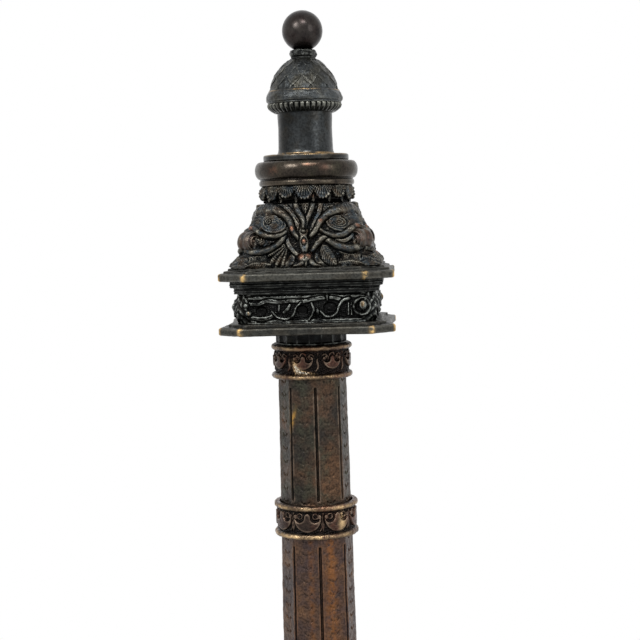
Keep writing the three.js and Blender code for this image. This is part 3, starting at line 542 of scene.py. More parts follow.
def build_knob_collar():
    _, top = span("knob_collar")
    outline = [
        [3.3, 0], [9.9, 0], [9.8, top * 0.2], [10.4, top * 0.32], [10.7, top * 0.6], [10.8, top * 0.85],
        [10.2, top], [3.3, top],
    ]
    grid, angle, _, height = turned_on("knob_collar", outline, 200, 0.3)
    waist = bump(height, top * 0.52, top * 0.34)
    beads = (np.abs(np.cos(5 * angle + 0.3)) - 0.65) * 0.5 * waist
    rough = lumps(grid, 3.0, 0.5, 2) * waist + lumps(grid, 1.2, 0.14, 14)
    grid = lifted(grid, (beads + rough) * on_outside(grid, 5))
    piece("knob_collar", [grid], "black_cast", "cover", dark=0.6)


def leaf_row(angle, height, tip, length, count, shift):
    """Height of one row of leaves hanging to tip, and the distance above its edge."""
    across = ((angle / tau * count + shift) % 1 - 0.5) * 2
    flank = 0.45 * np.abs(across) + 0.55 * (1 - np.sqrt(np.clip(1 - across**2, 0, 1)))
    above = height - tip - length * flank
    body = 0.75 * np.exp(-np.clip(above, 0, None) / length * 1.5)
    rib = 0.15 * bump(across, 0, 0.08) * np.clip(1.4 - above / length, 0, 1)
    return body + rib, above


# Height of the tips, length, place round the dome and how black the painted shadow line under the leaves
# is.
LEAF_ROWS = ((14.0, 9.0, 0.5, 0.2), (20.6, 11.0, 0.0, 0.9), (28.3, 10.0, 0.5, 0.4), (35.5, 8.0, 0.0, 0.3))


def build_dome():
    foot, top, share = 18.4, 43.7, np.linspace(0, 1, 24)
    heights = foot + (top - foot) * share
    radii = 10.3 + 17.7 * np.clip(1 - share**1.7, 0, 1) ** 0.8
    outline = [[23.4, 7.4], [30, 7.4], [29.9, 8.2], [29.7, 8.7], [31, 9.4], [31.3, 11.2], [31, 13.2]]
    outline += [[30.2, 15.4], [29.2, 16.8], [29.1, 17.4], [28.5, 17.9]]
    outline += [[radius, height] for height, radius in zip(heights[1:], radii[1:])]
    outline += [[3.3, top], [3.3, top - 4], [9, top - 4.1]]
    outline += [[max(r - 3.6, 9), foot + (h - foot) * 0.84] for h, r in zip(heights[::-1], radii[::-1])]
    outline += [[19.5, 10], [23.4, 10]]
    grid = turned(outline, 720, 0.3, 2, cover_base)
    angle, radius, height = polar(grid, cover_base)
    carved = np.full(height.shape, -0.9)
    lines = np.zeros(height.shape)
    for tip, length, shift, line in LEAF_ROWS:
        layer, above = leaf_row(angle, height, tip, length, 12, shift)
        carved = np.where(above > 0, layer - 0.7, carved)
        # A painted shadow line just below each row of leaves.
        lines = np.where(above > 0.6, 0.0, np.maximum(lines, line * bump(above, -0.1, 0.45)))
    carved = np.where(height < 18.1, 0.0, carved)
    inner_radius = np.interp(np.clip(height, foot, top), heights, radii) - 1.7
    outside = np.where(height > foot, radius > inner_radius, radius > 26) & (height > 7.4)
    fade = faded(grid, outside & (height < top - 0.5))
    grid = lifted(grid, (carved + lumps(grid, 1.6, 0.09, 3) + lumps(grid, 6, 0.1, 15)) * fade)
    gilt = 0.7 * bump(height, 17.3, 0.35) * (0.5 + 0.5 * np.cos(5 * angle + 1.2)) * fade
    # Painted shadow under the leaves, blacked through dark.
    black = lines * fade * (height > foot)
    piece("cover_dome", [grid], "dark_leafy", "cover", copper=gilt, dark=black)


def build_gadroons():
    angle = round_angles(960)
    gadroons = 40
    lobe = np.abs(np.cos(gadroons / 2 * angle)) ** 0.6
    sections = [
        (0, 23.4), (0, 24.4 + 0.2 * lobe), (1.6, 25.6 + 1.6 * lobe), (3.8, 27.4 + 2.4 * lobe),
        (6, 28.4 + 2.2 * lobe), (7.3, 28.7 + 1.4 * lobe), (7.3, 23.4),
    ]
    # The gadroon ring's darker bronze is painted shade under the dome's rim.
    piece("gadroon_ring", [stacked(sections, angle, 0.35, 2, cover_base)], "shaded_gadroon", "cover")


build_ball()
build_knob_collar()
build_dome()
build_gadroons()

# Socket, flange and torus


def facing(angle):
    """Degrees from -Y, positive towards +X."""
    return (np.degrees(angle) + 270) % 360 - 180


def build_socket():
    base = low("candle_socket")
    foot, top = high("drip_flange") - base, high("candle_socket") - base
    outline = [
        [5.3, 0], [22.4, 0], [22.4, foot + 0.1], [23.5, foot + 0.1], [23.3, foot + 1], [22.6, foot + 2.2],
        [22.3, foot + 4], [21.9, (foot + top) / 2], [22.3, top - 14], [22.4, top], [19.5, top],
        [19.5, 5], [5.3, 5],
    ]
    grid, _, radius, height = turned_on("candle_socket", outline, 256)
    line = bump(height, foot + 0.4, 0.6) * (radius > 22.6)
    piece("candle_socket", [lifted(grid, lumps(grid, 7, 0.03, 4))], "dark_smooth", copper=line * 0.8)


def build_flange():
    outline = [[23, 0], [34, 0], [34.8, 0.7], [34.8, 4.4], [34.1, 5.2], [32.8, 5.4], [23, 5.4]]
    grid, angle, radius, height = turned_on("drip_flange", outline, 320, 0.35)
    rim = bump(np.hypot(radius - 34.2, height - 5.0), 0, 0.7)
    # The rim's gold tint is stronger over the front right, from 0° to 32°.
    worn = np.where(np.abs(facing(angle) - 16) < 16, 0.9, 0.35)
    piece("drip_flange", [lifted(grid, lumps(grid, 4, 0.05, 5))], "dark_smooth", copper=rim * worn)


def build_torus():
    outline = [[23, 0], [37.8, 0], [38.8, 1], [39, 2.6], [38.7, 4.2], [37.8, 4.8]]
    outline += half_round(37.8, 4.2, 5.5, 14.4, np.linspace(0, pi, 22)) + [[33.6, 19.9], [23, 19.9]]
    grid, angle, _, height = turned_on("torus_collar", outline, 320, 0.45)
    # Copper patches, and at 6° round and 16.2 mm up a warm painted highlight streak on the torus.
    patches = 0.3 * bump(facing(angle), -36, 7) * bump(height, 12.5, 3)
    patches += 0.5 * bump(facing(angle), 6, 7) * bump(height, 16.2, 1.2)
    patches += 0.15 * bump(facing(angle), 24, 8) * bump(height, 14, 3)
    piece("torus_collar", [lifted(grid, lumps(grid, 5, 0.06, 6))], "torus_brown", copper=patches)


def build_leaf_collar():
    """Sixteen leaves that hang from the torus, folded like shells, with a dart between each two."""
    outline = [[28.5, 0], [36.6, 0], [37, 3], [37.8, 5], [38.5, 7], [38.4, 10], [37.6, 12.6], [37, 14.3]]
    outline += [[5.3, 14.3], [5.3, 6.5], [28.5, 6.5]]
    grid, angle, radius, height = turned_on("leaf_collar", outline, 1280, 0.3)
    leaves, leaf_radius = 16, 37.5
    half = tau * leaf_radius / leaves / 2
    across = ((angle / tau * leaves + 0.5) % 1 - 0.5) * 2 * half
    number = np.floor(angle / tau * leaves + 0.5) % leaves
    sway = np.sin(number * 2.4)
    fold = np.abs(np.cos(18.5 * np.arctan2(across, 20 - height) + 0.7 * sway))
    edge = 3.6 + 0.8 * sway + 7.5 * np.abs(across / half) ** 2.6 - fold
    tip = 1.2 * bump(height - edge, 1.5, 1.1)
    leaf = (-1.3 + 1.3 * fold**0.6 + tip) * smooth((height - edge) / 0.7 + 0.4)
    carved = np.where(height > edge, leaf, -2.6)
    gap = half - np.abs(across)
    dart = (gap < 1.7 - 0.2 * height) & (height < 8)
    carved = np.where(dart, np.maximum(carved, -0.8 - 0.5 * gap), carved)
    grid = lifted(grid, (carved + lumps(grid, 1.5, 0.16, 7)) * faded(grid, radius > 34.5))
    bare = 0.8 * bump(facing(angle), 11, 4) * bump(height, 4.6, 1.4)
    # dark is painted shade in the deep hollows between and under the leaves.
    piece("leaf_collar", [grid], "dark_cast", copper=bare, dark=0.9 * smooth((-1.6 - carved) / 0.6))


build_socket()
build_flange()
build_torus()
build_leaf_collar()

# Capital

BAND_RISE, BAND_HEIGHT, SEAT_GAP = 3.9, 28, 0.1  # BAND_RISE is how far a band stands over the shafts
TOP_RADIUS, TAPER = 28, 0.011  # under the first band, and the radius gained per mm down


def column_radius(z):
    """Radius of the tapered column, from the CAD shafts' own taper."""
    return TOP_RADIUS + TAPER * (low("column_neck") - BAND_HEIGHT - z)


# Rises and spreads of the CAD bodies' ogee.
OGEE = ([0, 0.06, 0.16, 0.56, 0.84, 1], [1, 0.96, 0.66, 0.41, 0.14, 0])

# Places on one face of the capital, in millimetres across from its middle and up from its foot.
# Stems: line, half widths along it, rise over the ground and grooves, if any.
BACK_STEMS = (
    (((-17.8, 49.8), (-11.9, 44.2), (-7.7, 37.7), (-4.4, 31.8), (-3.1, 27.2)), (2.5, 2.8, 2.3), 3.6, 2),
    (((13, 49.8), (11.3, 42.3), (8.4, 35.7), (5.8, 29.8), (4.1, 24.6)), (2.1, 2.1, 1.8), 3.6, 1),
    (((44.5, 42.3), (46.2, 36.4), (47.5, 31.1)), (2.1, 1.7), 3.6, 1),
    (((-41.5, 41.6), (-43.5, 35.7), (-45, 31.1)), (2.1, 1.7), 3.6, 1),
    (((17.6, 22), (25.4, 19.9), (32, 19.9), (36.5, 22.6), (39.2, 25.3)), (1.5, 1.8, 1.8), 3.4, 1),
    (((-14.5, 24.6), (-12.6, 18), (-8.6, 12.2), (-5.4, 9.5)), (1.8, 2.3, 1.8), 3.8, 1),
)
FRONT_STEMS = (
    (((-48, 14.2), (-44.3, 13), (-38.1, 12.2), (-30.3, 13.5), (-23.1, 16.7), (-17.8, 21),
      (-14.5, 25.6), (-13.6, 29.2)), (2.6, 3.1, 2.9, 2.3, 1.3), 5.4),
    (((15.6, 22), (21.5, 18.4), (28, 15.1), (36.5, 13.1), (43.8, 15.1), (48, 18)),
     (2.1, 3.1, 3.4, 3.1), 5.4),
    (((5.8, 12.2), (9, 16.7), (13, 21), (16.8, 23.3)), (1.8, 2.5, 2.2), 5),
    (((-14.5, 27.2), (-18.5, 25.1), (-24.4, 24.1), (-30.9, 25.1), (-35.5, 27.2), (-39.4, 30.2),
      (-42.6, 31.3)), (1.6, 2.1, 2.2, 2.7, 2.3), 5.4),
    (((12.3, 28.2), (17.6, 25.6), (23.4, 23.8), (30.6, 24.6), (36.5, 28.2), (41.1, 31.5),
      (45.1, 32.5)), (1.6, 2.1, 2.5, 2.9, 2.5), 5.4),
    (((-41, 40), (-39.4, 43.2), (-36, 46), (-30.3, 46.7), (-23.7, 45.9), (-17.8, 42.3),
      (-13.2, 37.7), (-10.6, 32.5), (-9, 27.2), (-4.1, 21.3)),
     (2.6, 3.9, 3.6, 2.9, 2.5, 1.8), 5.6),
    (((45.6, 40), (44.4, 43.4), (41.1, 46.2), (34.6, 46.2), (27.4, 44.9), (20.2, 42),
      (14.9, 38), (11.7, 33.8), (9, 28.5), (5.1, 23.9)), (2.6, 4.2, 3.9, 3.1, 2.6, 2), 5.6),
    (((0, 35), (-0.6, 29), (-0.8, 23), (-0.4, 17.5), (0, 12)),
     (2.4, 3.6, 4.4, 3.2, 4.2, 3.9, 2.6), 5.2, 1),
    (((7.1, 51.5), (5.4, 44.2), (2.8, 38.7), (1.2, 34.4), (0.6, 30.4)), (2, 2.4, 2.4, 1.6), 5.2),
    (((-7.3, 51.5), (-5.7, 44.9), (-2.4, 39.3), (-0.8, 34.4), (-1.2, 30.4)), (2.1, 2.7, 2.5, 1.6), 5.4),
    (((-0.3, 5.6), (-0.1, 0.6)), (3.1, 2.3), 4.6),
    (((5.2, 4.2), (8, 1.4), (12.5, 0.4)), (2.3, 1.8, 1), 4.4),
    (((-2, 3), (-4.6, 1.2), (-8, 0.8)), (2.3, 2.1, 1.3), 4.2),
)
# Leaves: line, half width, rise, spacing of the veins and lobes, if any. Those at the sides are mirrored.
LEAVES = (
    (((-5, 47), (-16, 46), (-27, 42)), 4, 2.6, 2.6),
    (((6, 46), (16, 46.5), (26, 47)), 3.2, 2.6, 2.6),
    (((8, 30), (14, 27), (20, 31)), 3, 2.4, 2.2),
    (((-24, 20), (-33, 20.5), (-41, 24)), 3.6, 2.6, 2.4),
)
SIDE_LEAVES = (
    (((27, 11.5), (35.2, 8.2), (46, 7)), 3.6, 3.4, 2, 3),
    (((26, 2.4), (37.2, 3.4), (47, 1.2)), 3.4, 3.2, 1.8, 4),
    (((44.7, 6.9), (51.6, 5), (60, 2)), 2.8, 3.2, 1.8, 2),
    (((8.6, 10.4), (12.4, 4.4), (18.4, 0)), 3.4, 3, 9),
)
# Across, up and radius.
BARE_SPOTS = (
    (43.6, 32.2, 2.4), (40, 30.6, 1.8), (-41.6, 31, 2.4), (-10.4, 29, 1.8), (12.6, 34.6, 1.8),
    (-0.5, 19.4, 1.8), (-2.8, 8, 2.8), (3.4, 8.4, 2.8),
)


def carve_face(x, v):
    """Vines, scrolls and leaves on one face, where their metal is bare, and painted shade on the low ground
    between them.
    """
    c = Carving(x, v, -1.9)
    c.height = c.height + 0.5 * np.cos(tau * (v + 0.35 * np.abs(x)) / 2.9) * np.cos(tau * x / 4.7)
    for leaf in LEAVES:
        c.leaf(*leaf)
    for side in (-1, 1):
        for points, *form in SIDE_LEAVES:
            c.leaf([(side * across, up) for across, up in points], *form)
    c.fan((-12.6, 18.2), 20.5, (-175, -98), 4.4, 5, 1.6)
    c.leaf([(14.3, 16.4), (18.2, 8.2), (25.4, 0)], 5.4, 4.2, vein=2.2)
    c.leaf([(-0.5, 53), (0.8, 48.2), (1, 40.5)], 3.6, 3.6, vein=2.6)
    for stem in BACK_STEMS:
        c.stem(*stem)
    c.oval((-25, 34.4), (11.6, 7.6), 3.4, rings=2.1, tilt=-0.1)
    c.ring((-29, 36.2), 1.8, 0.7, 3.8, gap=0.3)
    c.oval((27.4, 34.4), (11.6, 7), 3.4, rings=2.1, tilt=-0.25)
    c.stem([(29.4, 38.8), (32, 36.8), (34.8, 34.2)], (0.3, 0.6, 0.3), 0.6, gap=0.2)
    for stem in FRONT_STEMS:
        c.stem(*stem)
    c.oval((-0.7, 27), (2.6, 1.8), 5.6, gap=0)
    c.oval((-0.5, 19.4), (2.4, 3.4), 5.6, gap=0)
    c.oval((0.1, 7.6), (5.6, 3.6), 5, gap=0.4)
    c.stem([(0, 11.6), (0.2, 8.6), (0, 5)], (0.3, 0.5, 0.3), 4.2, gap=0)
    c.bare(*BARE_SPOTS)
    return c.height, c.copper, c.dark(-1.6)


def corner_leaf(angle, height):
    """Ribbed leaf up each corner of the body."""
    half_width = radians(7.5)
    off = off_corner(angle) / half_width
    ribs = 0.3 * np.cos(tau * (height + 2 * off) / 2.6)
    crown = np.sqrt(np.clip(1 - off**2, 0, 1)) * smooth((46 - height) / 12)
    return np.where(off < 1, -0.6 + crown + ribs, -9.0)


def ogee_grid(base, height, foot, top, bores, step):
    """Body of square section. foot and top are widths and cut corners, bores the radii at top and foot."""
    angle = face_angles(320)
    foot, top = square_radius(angle, *foot), square_radius(angle, *top)
    share = np.linspace(0, 1, 60)
    sections = []
    for t, s in zip(share, np.interp(share, *OGEE)):
        square = (top * (1 - s) + foot * s) * (1 - 0.06 * bump(t, 0.76, 0.22))
        eased = smooth((t - 0.8) / 0.24)
        sections.append((height * t, square * (1 - eased) + square.min() * eased))
    sections += [(height, bores[0]), (0.0, bores[1])]
    return stacked(sections, angle, step, 2, base)


def on_faces(carve, grid, base, scale):
    """What carve gives for one face of a square grid, repeated on all four. scale is across and up."""
    angle, radius, height = polar(grid[:, : grid.shape[1] // 4], base)
    layers = carve(radius * np.sin(angle + pi / 2) / scale[0], height / scale[1])
    return (np.tile(layer, (1, 4)) for layer in layers)


def carve_body(grid, base, wall, spread):
    """Carves the faces and corners. wall is a radius in the wall at the top and its gain per mm down."""
    angle, radius, height = polar(grid, base)
    carved, bare, dark = on_faces(carve_face, grid, base, (spread, 1))
    corner = corner_leaf(angle, height)
    # dark is the faces' painted shade, none where the corner leaf stands over them.
    dark = np.where(corner > carved, 0.0, dark)
    outside = faded(grid, radius > wall[0] + (50 - height) * wall[1])
    ease = smooth(height / 1.2) * smooth((50.2 - height) / 1.2)
    raised = np.maximum(carved, corner) * ease + lumps(grid, 1.5, 0.16, 8)
    return lifted(grid, raised * outside), bare * outside, dark


def volute(radius, width, diagonal, height, quarter):
    """A rolled scroll, spiral on both faces. Its axis is level and square to the corner's diagonal."""
    half = width / 2
    outline = [[0.02, -half], [radius * 0.9, -half], [radius, -half + 0.8], [radius, half - 0.8]]
    outline += [[radius * 0.9, half], [0.02, half]]
    grid = turned(outline, 128, 0.35, 1)
    angle, reach, along = polar(grid)
    spiral = np.cos(tau * (reach / (radius * 0.42) - angle / tau * np.sign(along)))
    face = (np.abs(along) > half - 0.5) & (reach < radius * 0.95)
    ribs = np.where(face, 0.9 * spiral - 0.5, -0.35 * np.cos(tau * along / 6.5))
    grid = lifted(grid, blurred(ribs, 0.2, grid) * np.clip(reach / 1.5, 0, 1))
    placed = grid[:, ::-1, [0, 2, 1]] + np.array([diagonal - radius, 0, height])
    spin = pi / 4 + quarter * pi / 2
    placed[..., :2] = placed[..., :2] @ np.array([[cos(spin), sin(spin)], [-sin(spin), cos(spin)]])
    return placed


def build_body(node, foot, top, bores, step, wall, spread, scroll):
    """A carved ogee body with a scroll rolled out of each corner. scroll is what volute says of it."""
    base, height = span(node)
    grid = ogee_grid(base, height, foot, top, bores, step)
    grid, bare, dark = carve_body(grid, base, wall, spread)
    radius, width, diagonal, up = scroll
    scrolls = [volute(radius, width, diagonal, base + up, quarter) for quarter in range(4)]
    piece(node, [grid, *scrolls], "dark_cast", copper=bare, dark=dark)


build_body("capital_body", (119, 12), (79, 8), (30.0, 43.3), 0.36, (32, 0.24), 1.0, (8.2, 13, 70.5, 20.5))
base_foot, base_cut = 188, 18
base_top = 2 * (column_radius(high("base_collar")) + BAND_RISE)
base_scroll = (13, 17, (base_foot - base_cut) / 2**0.5 - 12, 18)
build_body(
    "base_body", (base_foot, base_cut), (base_top, 8), (30.5, 54), 0.6, (33.5, 0.46), 94 / 59.5, base_scroll
)

# Plates and mouldings


def corner_gap(angle, radius, width, cut):
    """Distance round the plate from the nearest edge of a cut corner."""
    return (np.abs(off_middle(angle)) - np.arctan((width / 2 - cut) / (width / 2))) * radius


def build_plate(node, width, cut, hollow, thickness, steps, hole, per_side=160):
    """A stepped plate with drawn-in sides, rounded edges, corners rubbed to bare metal and painted shade on
    its steps.
    """
    base = low(node)
    angle = face_angles(per_side)
    edge = square_radius(angle, width, cut, hollow)
    inset = square_radius(angle, width - 2.4, cut, hollow)
    sections = [(0, hole), (0, inset), (1.0, edge), (thickness - 1.2, edge), (thickness, inset)]
    top = thickness
    for step_width, step_height in steps:
        step = square_radius(angle, step_width, cut * step_width / width, hollow)
        rounded = square_radius(angle, step_width - 1.2, cut * step_width / width, hollow)
        sections += [(top, step), (top + step_height - 0.6, step), (top + step_height, rounded)]
        top += step_height
    sections += [(top, hole)]
    grid = stacked(sections, angle, 0.4, 2, base)
    around, radius, height = polar(grid, base)
    rough = smooth((height - thickness + 0.6) / 1.2) * smooth((top - 0.2 - height) / 0.6 + 0.5)
    rough = rough * (radius > 0.38 * width)
    shown = smooth((radius - 0.38 * width) / 3)
    uneven = -np.abs(lumps(grid, 3, 0.08, 9)) * shown + lumps(grid, 2.2, 0.2, 16) * rough
    near = bump(corner_gap(around, radius, width, cut), 0, 1.5)
    rim = (radius > square_radius(around, width, cut, hollow) - 2.2) & (height < thickness + 0.2)
    # The steps are blacked by painted shade, where rough is 1.
    piece(node, [lifted(grid, uneven)], "dark_plate", copper=near * rim, dark=0.55 * rough)


def build_moulding(node, width, lower_width, cut, wall):
    """A black moulding in two steps with fine lines along it, darkened further by painted shade under the
    plate above it.
    """
    base, height = span(node)
    angle = face_angles(160)
    wide, narrow = (square_radius(angle, w, cut) for w in (width, lower_width))
    hollow = square_radius(angle, lower_width - 2 * wall, cut)
    half = height / 2
    sections = [(0, narrow - 0.6), (0.8, narrow), (half * 0.8, narrow), (half, narrow + 0.8)]
    sections += [(half, wide - 0.8), (half + 0.9, wide), (height - 0.8, wide), (height, wide - 0.8)]
    sections += [(height, hollow), (0, hollow)]
    grid = stacked(sections, angle, 0.33, 1, base)
    _, radius, level = polar(grid, base)
    outer = (radius > (lower_width - wall) / 2).astype(float)
    lines = 0.28 * np.cos(tau * level / (height / 4)) * outer
    grid = lifted(grid, lines - 0.2 + lumps(grid, 2.5, 0.14, 10) * outer)
    # dark is painted shade under the plate above.
    piece(node, [grid], "black_cast", dark=0.65)


# Places on one face of the frieze, as for the capital.
FRIEZE_STEMS = (
    (((-52, 20.6), (-20, 21.2), (20, 21), (52, 20.6)), (1.8, 1.6), 3),
    (((-52, 1.2), (0, 0.8), (52, 1.2)), (1.3, 1.3), 2.6),
    (((-46.4, 16.6), (-38.5, 15.6), (-30.6, 18.2), (-21.2, 17.2), (-11, 17.8), (-2.4, 17.2),
      (5.5, 18.8), (13.4, 20), (22, 19.6), (29.1, 17.4)), (1.6, 2, 1.6, 1.9, 1.5), 3.6, 1),
    (((-44, 4.6), (-36, 3.2), (-29, 4.4), (-24.6, 8)), (1.7, 2.1, 1.3), 3.2, 1),
    (((-27.1, 9.6), (-22.8, 4.8), (-15.7, 3.1), (-10.2, 6.4), (-7.9, 11.9), (-3.9, 16.6)),
     (0.9, 1.2, 0.9), 3.9),
    (((-21.2, 14.5), (-21.6, 9.6)), (0.8, 0.6), 3.4),
    (((-17.5, 8.5), (-14.5, 11.5), (-13, 14.5)), (1.3, 1.6, 1.1), 3, 1),
    (((4.3, 15.8), (5.9, 10.7), (4.7, 6.4), (2, 2.1)), (0.9, 1.3, 0.8), 4),
    (((11.4, 8.8), (14.9, 5), (19.3, 4.4), (23.6, 7.2), (25.5, 11.9), (28.7, 17), (33.8, 19)),
     (0.9, 1.2, 1.2, 1.7), 4),
    (((33.4, 15.1), (33.2, 5.6)), (0.7, 0.7), 3.6),
    (((36, 15.1), (35.6, 5.6)), (0.7, 0.7), 3.6),
    (((16.5, 21.5), (16.9, 17.6)), (1.7, 0.5), 2.8),
)


def carve_frieze(x, v):
    """Scrollwork on one face of a frieze, with painted shade on its low ground."""
    c = Carving(x, v, -3.6)
    c.height = c.height + 0.4 * np.cos(tau * (v + x) / 3.1) * np.cos(tau * (v - 0.6 * x) / 3.7)
    c.oval((8.7, 8), (1.9, 3.4), 2.4)
    for stem in FRIEZE_STEMS:
        c.stem(*stem)
    for x_at, v_at, radius in ((-35.4, 9.6, 4.0), (-3.1, 9.6, 4.4), (18.9, 11.4, 5.2)):
        c.hole((x_at, v_at), radius, 2)
    c.ring((44, 11.9), 6.4, 1.4, 4.4)
    c.oval((45, 13.2), (3.6, 4.5), 5.4)
    c.oval((-47.6, 15), (2.8, 2.6), 5)
    c.oval((-45.8, 8.4), (3.4, 2.8), 4.6)
    c.bare((45.2, 14.3, 2.4), (-45.8, 8.6, 1.6))
    return c.height, 0.35 * c.copper, c.dark(-2.4)


def build_frieze(node, width, cut, bulge, wall, boss, per_side, step, scale):
    """A frieze with bulging leaves at its corners. scale is its size over the capital's, each way."""
    base, height = span(node)
    angle = face_angles(per_side)
    hollow = square_radius(angle, width - 2 * wall, cut)
    corner = off_corner(angle) * width * 0.7
    sections = []
    for share in np.linspace(0, 1, 24):
        swell = bulge * sin(pi * share)
        body = square_radius(angle, width + 2 * swell, cut + swell)
        cushion = boss * 0.5 * bump(corner, 0, boss * 0.75) * sin(pi * share) ** 0.6
        sections.append((height * share, body + cushion))
    sections += [(height, hollow), (0, hollow)]
    grid = stacked(sections, angle, step, 1, base)
    around, radius, level = polar(grid, base)
    carved, bare, dark = on_faces(carve_frieze, grid, base, scale)
    off = off_corner(around) * width * 0.7 / boss
    ribs = 0.6 * np.cos(tau * (level / height * 3.5 + off * 1.6)) + 0.3 * np.cos(tau * off * 2.5)
    carved = np.where(off < 1.0, np.maximum(carved, ribs - 1.4 * off**2), carved)
    outside = faded(grid, radius > width / 2 - wall * 0.5)
    inside_band = smooth(np.minimum(level, height - level) / 0.8)
    carved = np.where(off < 1.0, carved, np.minimum(carved, 0.9))
    grid = lifted(grid, (carved * inside_band + lumps(grid, 1.4, 0.16, 11)) * outside)
    front = off > 0.9
    # dark is painted shade in the scrollwork's hollows.
    piece(node, [grid], "black_cast", copper=bare * outside * front, dark=dark * front)


build_plate("upper_plate", 140, 21.5, 3.5, 6.6, [(132, 1.9), (125, 1.8)], 6.5)
build_plate("lower_plate", 140, 17.5, 3.5, 6.6, [(126, 2.3)], 6.5)
build_moulding("upper_moulding", 122, 116, 10.75, 9)
build_frieze("frieze_block", 110, 9, 2.2, 9, 9.5, 300, 0.36, (1.0, 1.0))
build_plate("base_top_plate", 236, 38, 5, 8, [(208, 3.9)], 6.5)
build_plate("base_plate", 290, 52, 8, 8.9, [], 5.3, 200)
build_moulding("base_moulding", 210, 199, 15, 45)
build_frieze("base_frieze", 190, 15, 3.5, 10, 14.25, 320, 0.5, (190 / 110, 34 / 23.5))

# Column


GROOVE_TURN = 7.5  # degrees from the front to the nearest groove
RIDGE = 0.045  # half the angle of the round stretch between two flat panels
SHAFT_WALL = 4.5


def off_groove(angle):
    """Angle from the nearest of the eight grooves."""
    return (angle - radians(GROOVE_TURN) + pi / 8) % (pi / 4) - pi / 8


def build_shaft(index, material):
    """One of five tapering shafts: eight panels parted by grooves, with pairs of small punch marks, both
    blacked by painted shade.
    """
    node = f"shaft_{index}"
    angle = round_angles(576)
    turn = np.abs(off_groove(angle))
    half = pi / 8 - RIDGE
    shape = np.where(turn < RIDGE, 1.0, cos(half) / np.cos(np.clip(pi / 8 - turn, 0, half)))
    heights = np.linspace(low(node), high(node), 5)
    sections = [(z, column_radius(z) * shape) for z in heights]
    sections += [(z, column_radius(z) - SHAFT_WALL) for z in heights[::-1]]
    grid = stacked(sections, angle, 0.5, 1)
    around, radius, z = polar(grid)
    turn = off_groove(around)
    across = turn * radius
    band_above = high(f"band_{index}") - BAND_HEIGHT + SEAT_GAP
    band_below = high(f"band_{index + 1}")
    groove_half, groove_depth, row_pitch = 1.15, 2, 11
    groove = np.clip((groove_half - np.abs(across)) / 0.3, 0, 1)
    ends = np.clip(np.minimum(band_above - 7 - z, z - band_below - 3) / 0.6 + 0.5, 0, 1)
    carved = (0.7 * bump(across, 0.1, 0.35) - groove_depth * groove) * ends
    panel = (pi / 8 - np.abs(turn)) * radius * np.sign(turn)
    row = (z - band_below - 7) % row_pitch - row_pitch / 2
    mark = np.hypot(np.abs(np.abs(panel) - 3.0 - 0.45 * row), row * 0.75) - 0.8
    mark = np.minimum(mark, np.hypot(panel - 0.6, row + 1.0) - 0.7)
    beside = smooth((np.abs(facing(around) - GROOVE_TURN) - 42) / 8)
    punched = 1 / (1 + np.exp(np.clip(mark / 0.2, -30, 30)))
    fade = faded(grid, (z > band_below) & (z < band_above) & (radius > column_radius(z) - 3.4))
    skin = lumps(grid, 2.2, 0.05, 20 + index) + lumps(grid, 9, 0.1, 50 + index)
    grid = lifted(grid, (carved - (0.5 + 0.5 * beside) * punched + skin) * fade)
    if index == 1:
        streak = bump(facing(around) + 0.5 * (band_above - 33 - z), -34, 3)
        bare = 0.9 * streak * bump(z, band_above - 33, 7)
    else:
        # A copper-tinted stripe down shafts 2 to 5, strongest 26° right of the front, and a fainter one 8°
        # left of it.
        bare = 0.6 * bump(facing(around), 26, 11) + 0.35 * bump(facing(around), -8, 5)
    # Painted shade in the grooves and punch marks.
    black = groove * ends * (np.abs(across - 0.1) > 0.35) + (0.5 + 0.15 * beside) * punched
    piece(node, [grid], material, copper=bare * fade, dark=black * fade)


def carve_band(x, v, size):
    """A flat crescent with two curls bitten out of it and a bud between them, on a rough ground blacked by
    painted shade.
    """
    c = Carving(x, v, -1.7)
    c.height = c.height + 0.5 * np.cos(tau * (v + 0.5 * x) / 3.3) * np.cos(tau * (x - 0.3 * v) / 3.9)
    c.stem([(-13.6, 2), (-12.4, 7), (-13.8, 12), (-12.6, 17)], (0.8, 1.2, 0.8), 1.2, gap=0.5)
    c.stem([(10.5, 2.6), (12.4, 6), (11.8, 10.5), (13.2, 14.5)], (0.6, 1, 0.7), 1.2, gap=0.5)
    if size < 1:
        c.ring((0, 15), 2.2, 0.7, 1.3)
        c.ring((-6.6, 14.4), 1.8, 0.6, 1.1)
        c.ring((6.8, 14.2), 2, 0.6, 1.2)
    x, up = x / size, (v - 9.2) / size
    boat = (np.hypot(x / 11.6, (up - 3.6) / 11.2) - 1) * 11.2
    bites = [4.3 - np.hypot(x + 6.9, up - 4.9), 4.1 - np.hypot(x - 6.5, up - 4.7)]
    shape = np.maximum.reduce([boat, up - 6.4, *bites])
    bud = (np.hypot(x / 2.7, (up - 4.2) / 4.0) - 1) * 3.2
    tips = (np.hypot((np.abs(x) - 10.2) / 1.7, (up - 5.2) / 2.0) - 1) * 1.8
    shape = np.minimum.reduce([shape, bud, tips]) * size
    c.height = np.where(shape < 0.7, -1.7, c.height)
    c.height = np.where(shape < 0, -1.7 + 2.2 * smooth(0.25 - shape / 0.6), c.height)
    curls = np.abs(np.hypot(np.abs(x) - 6.7, up - 5.4) - 2.2) * size
    c.lay(np.where(up > 3.4, curls, 9), 0.5, 1.2, 0)
    return c.height, c.dark(-0.4)


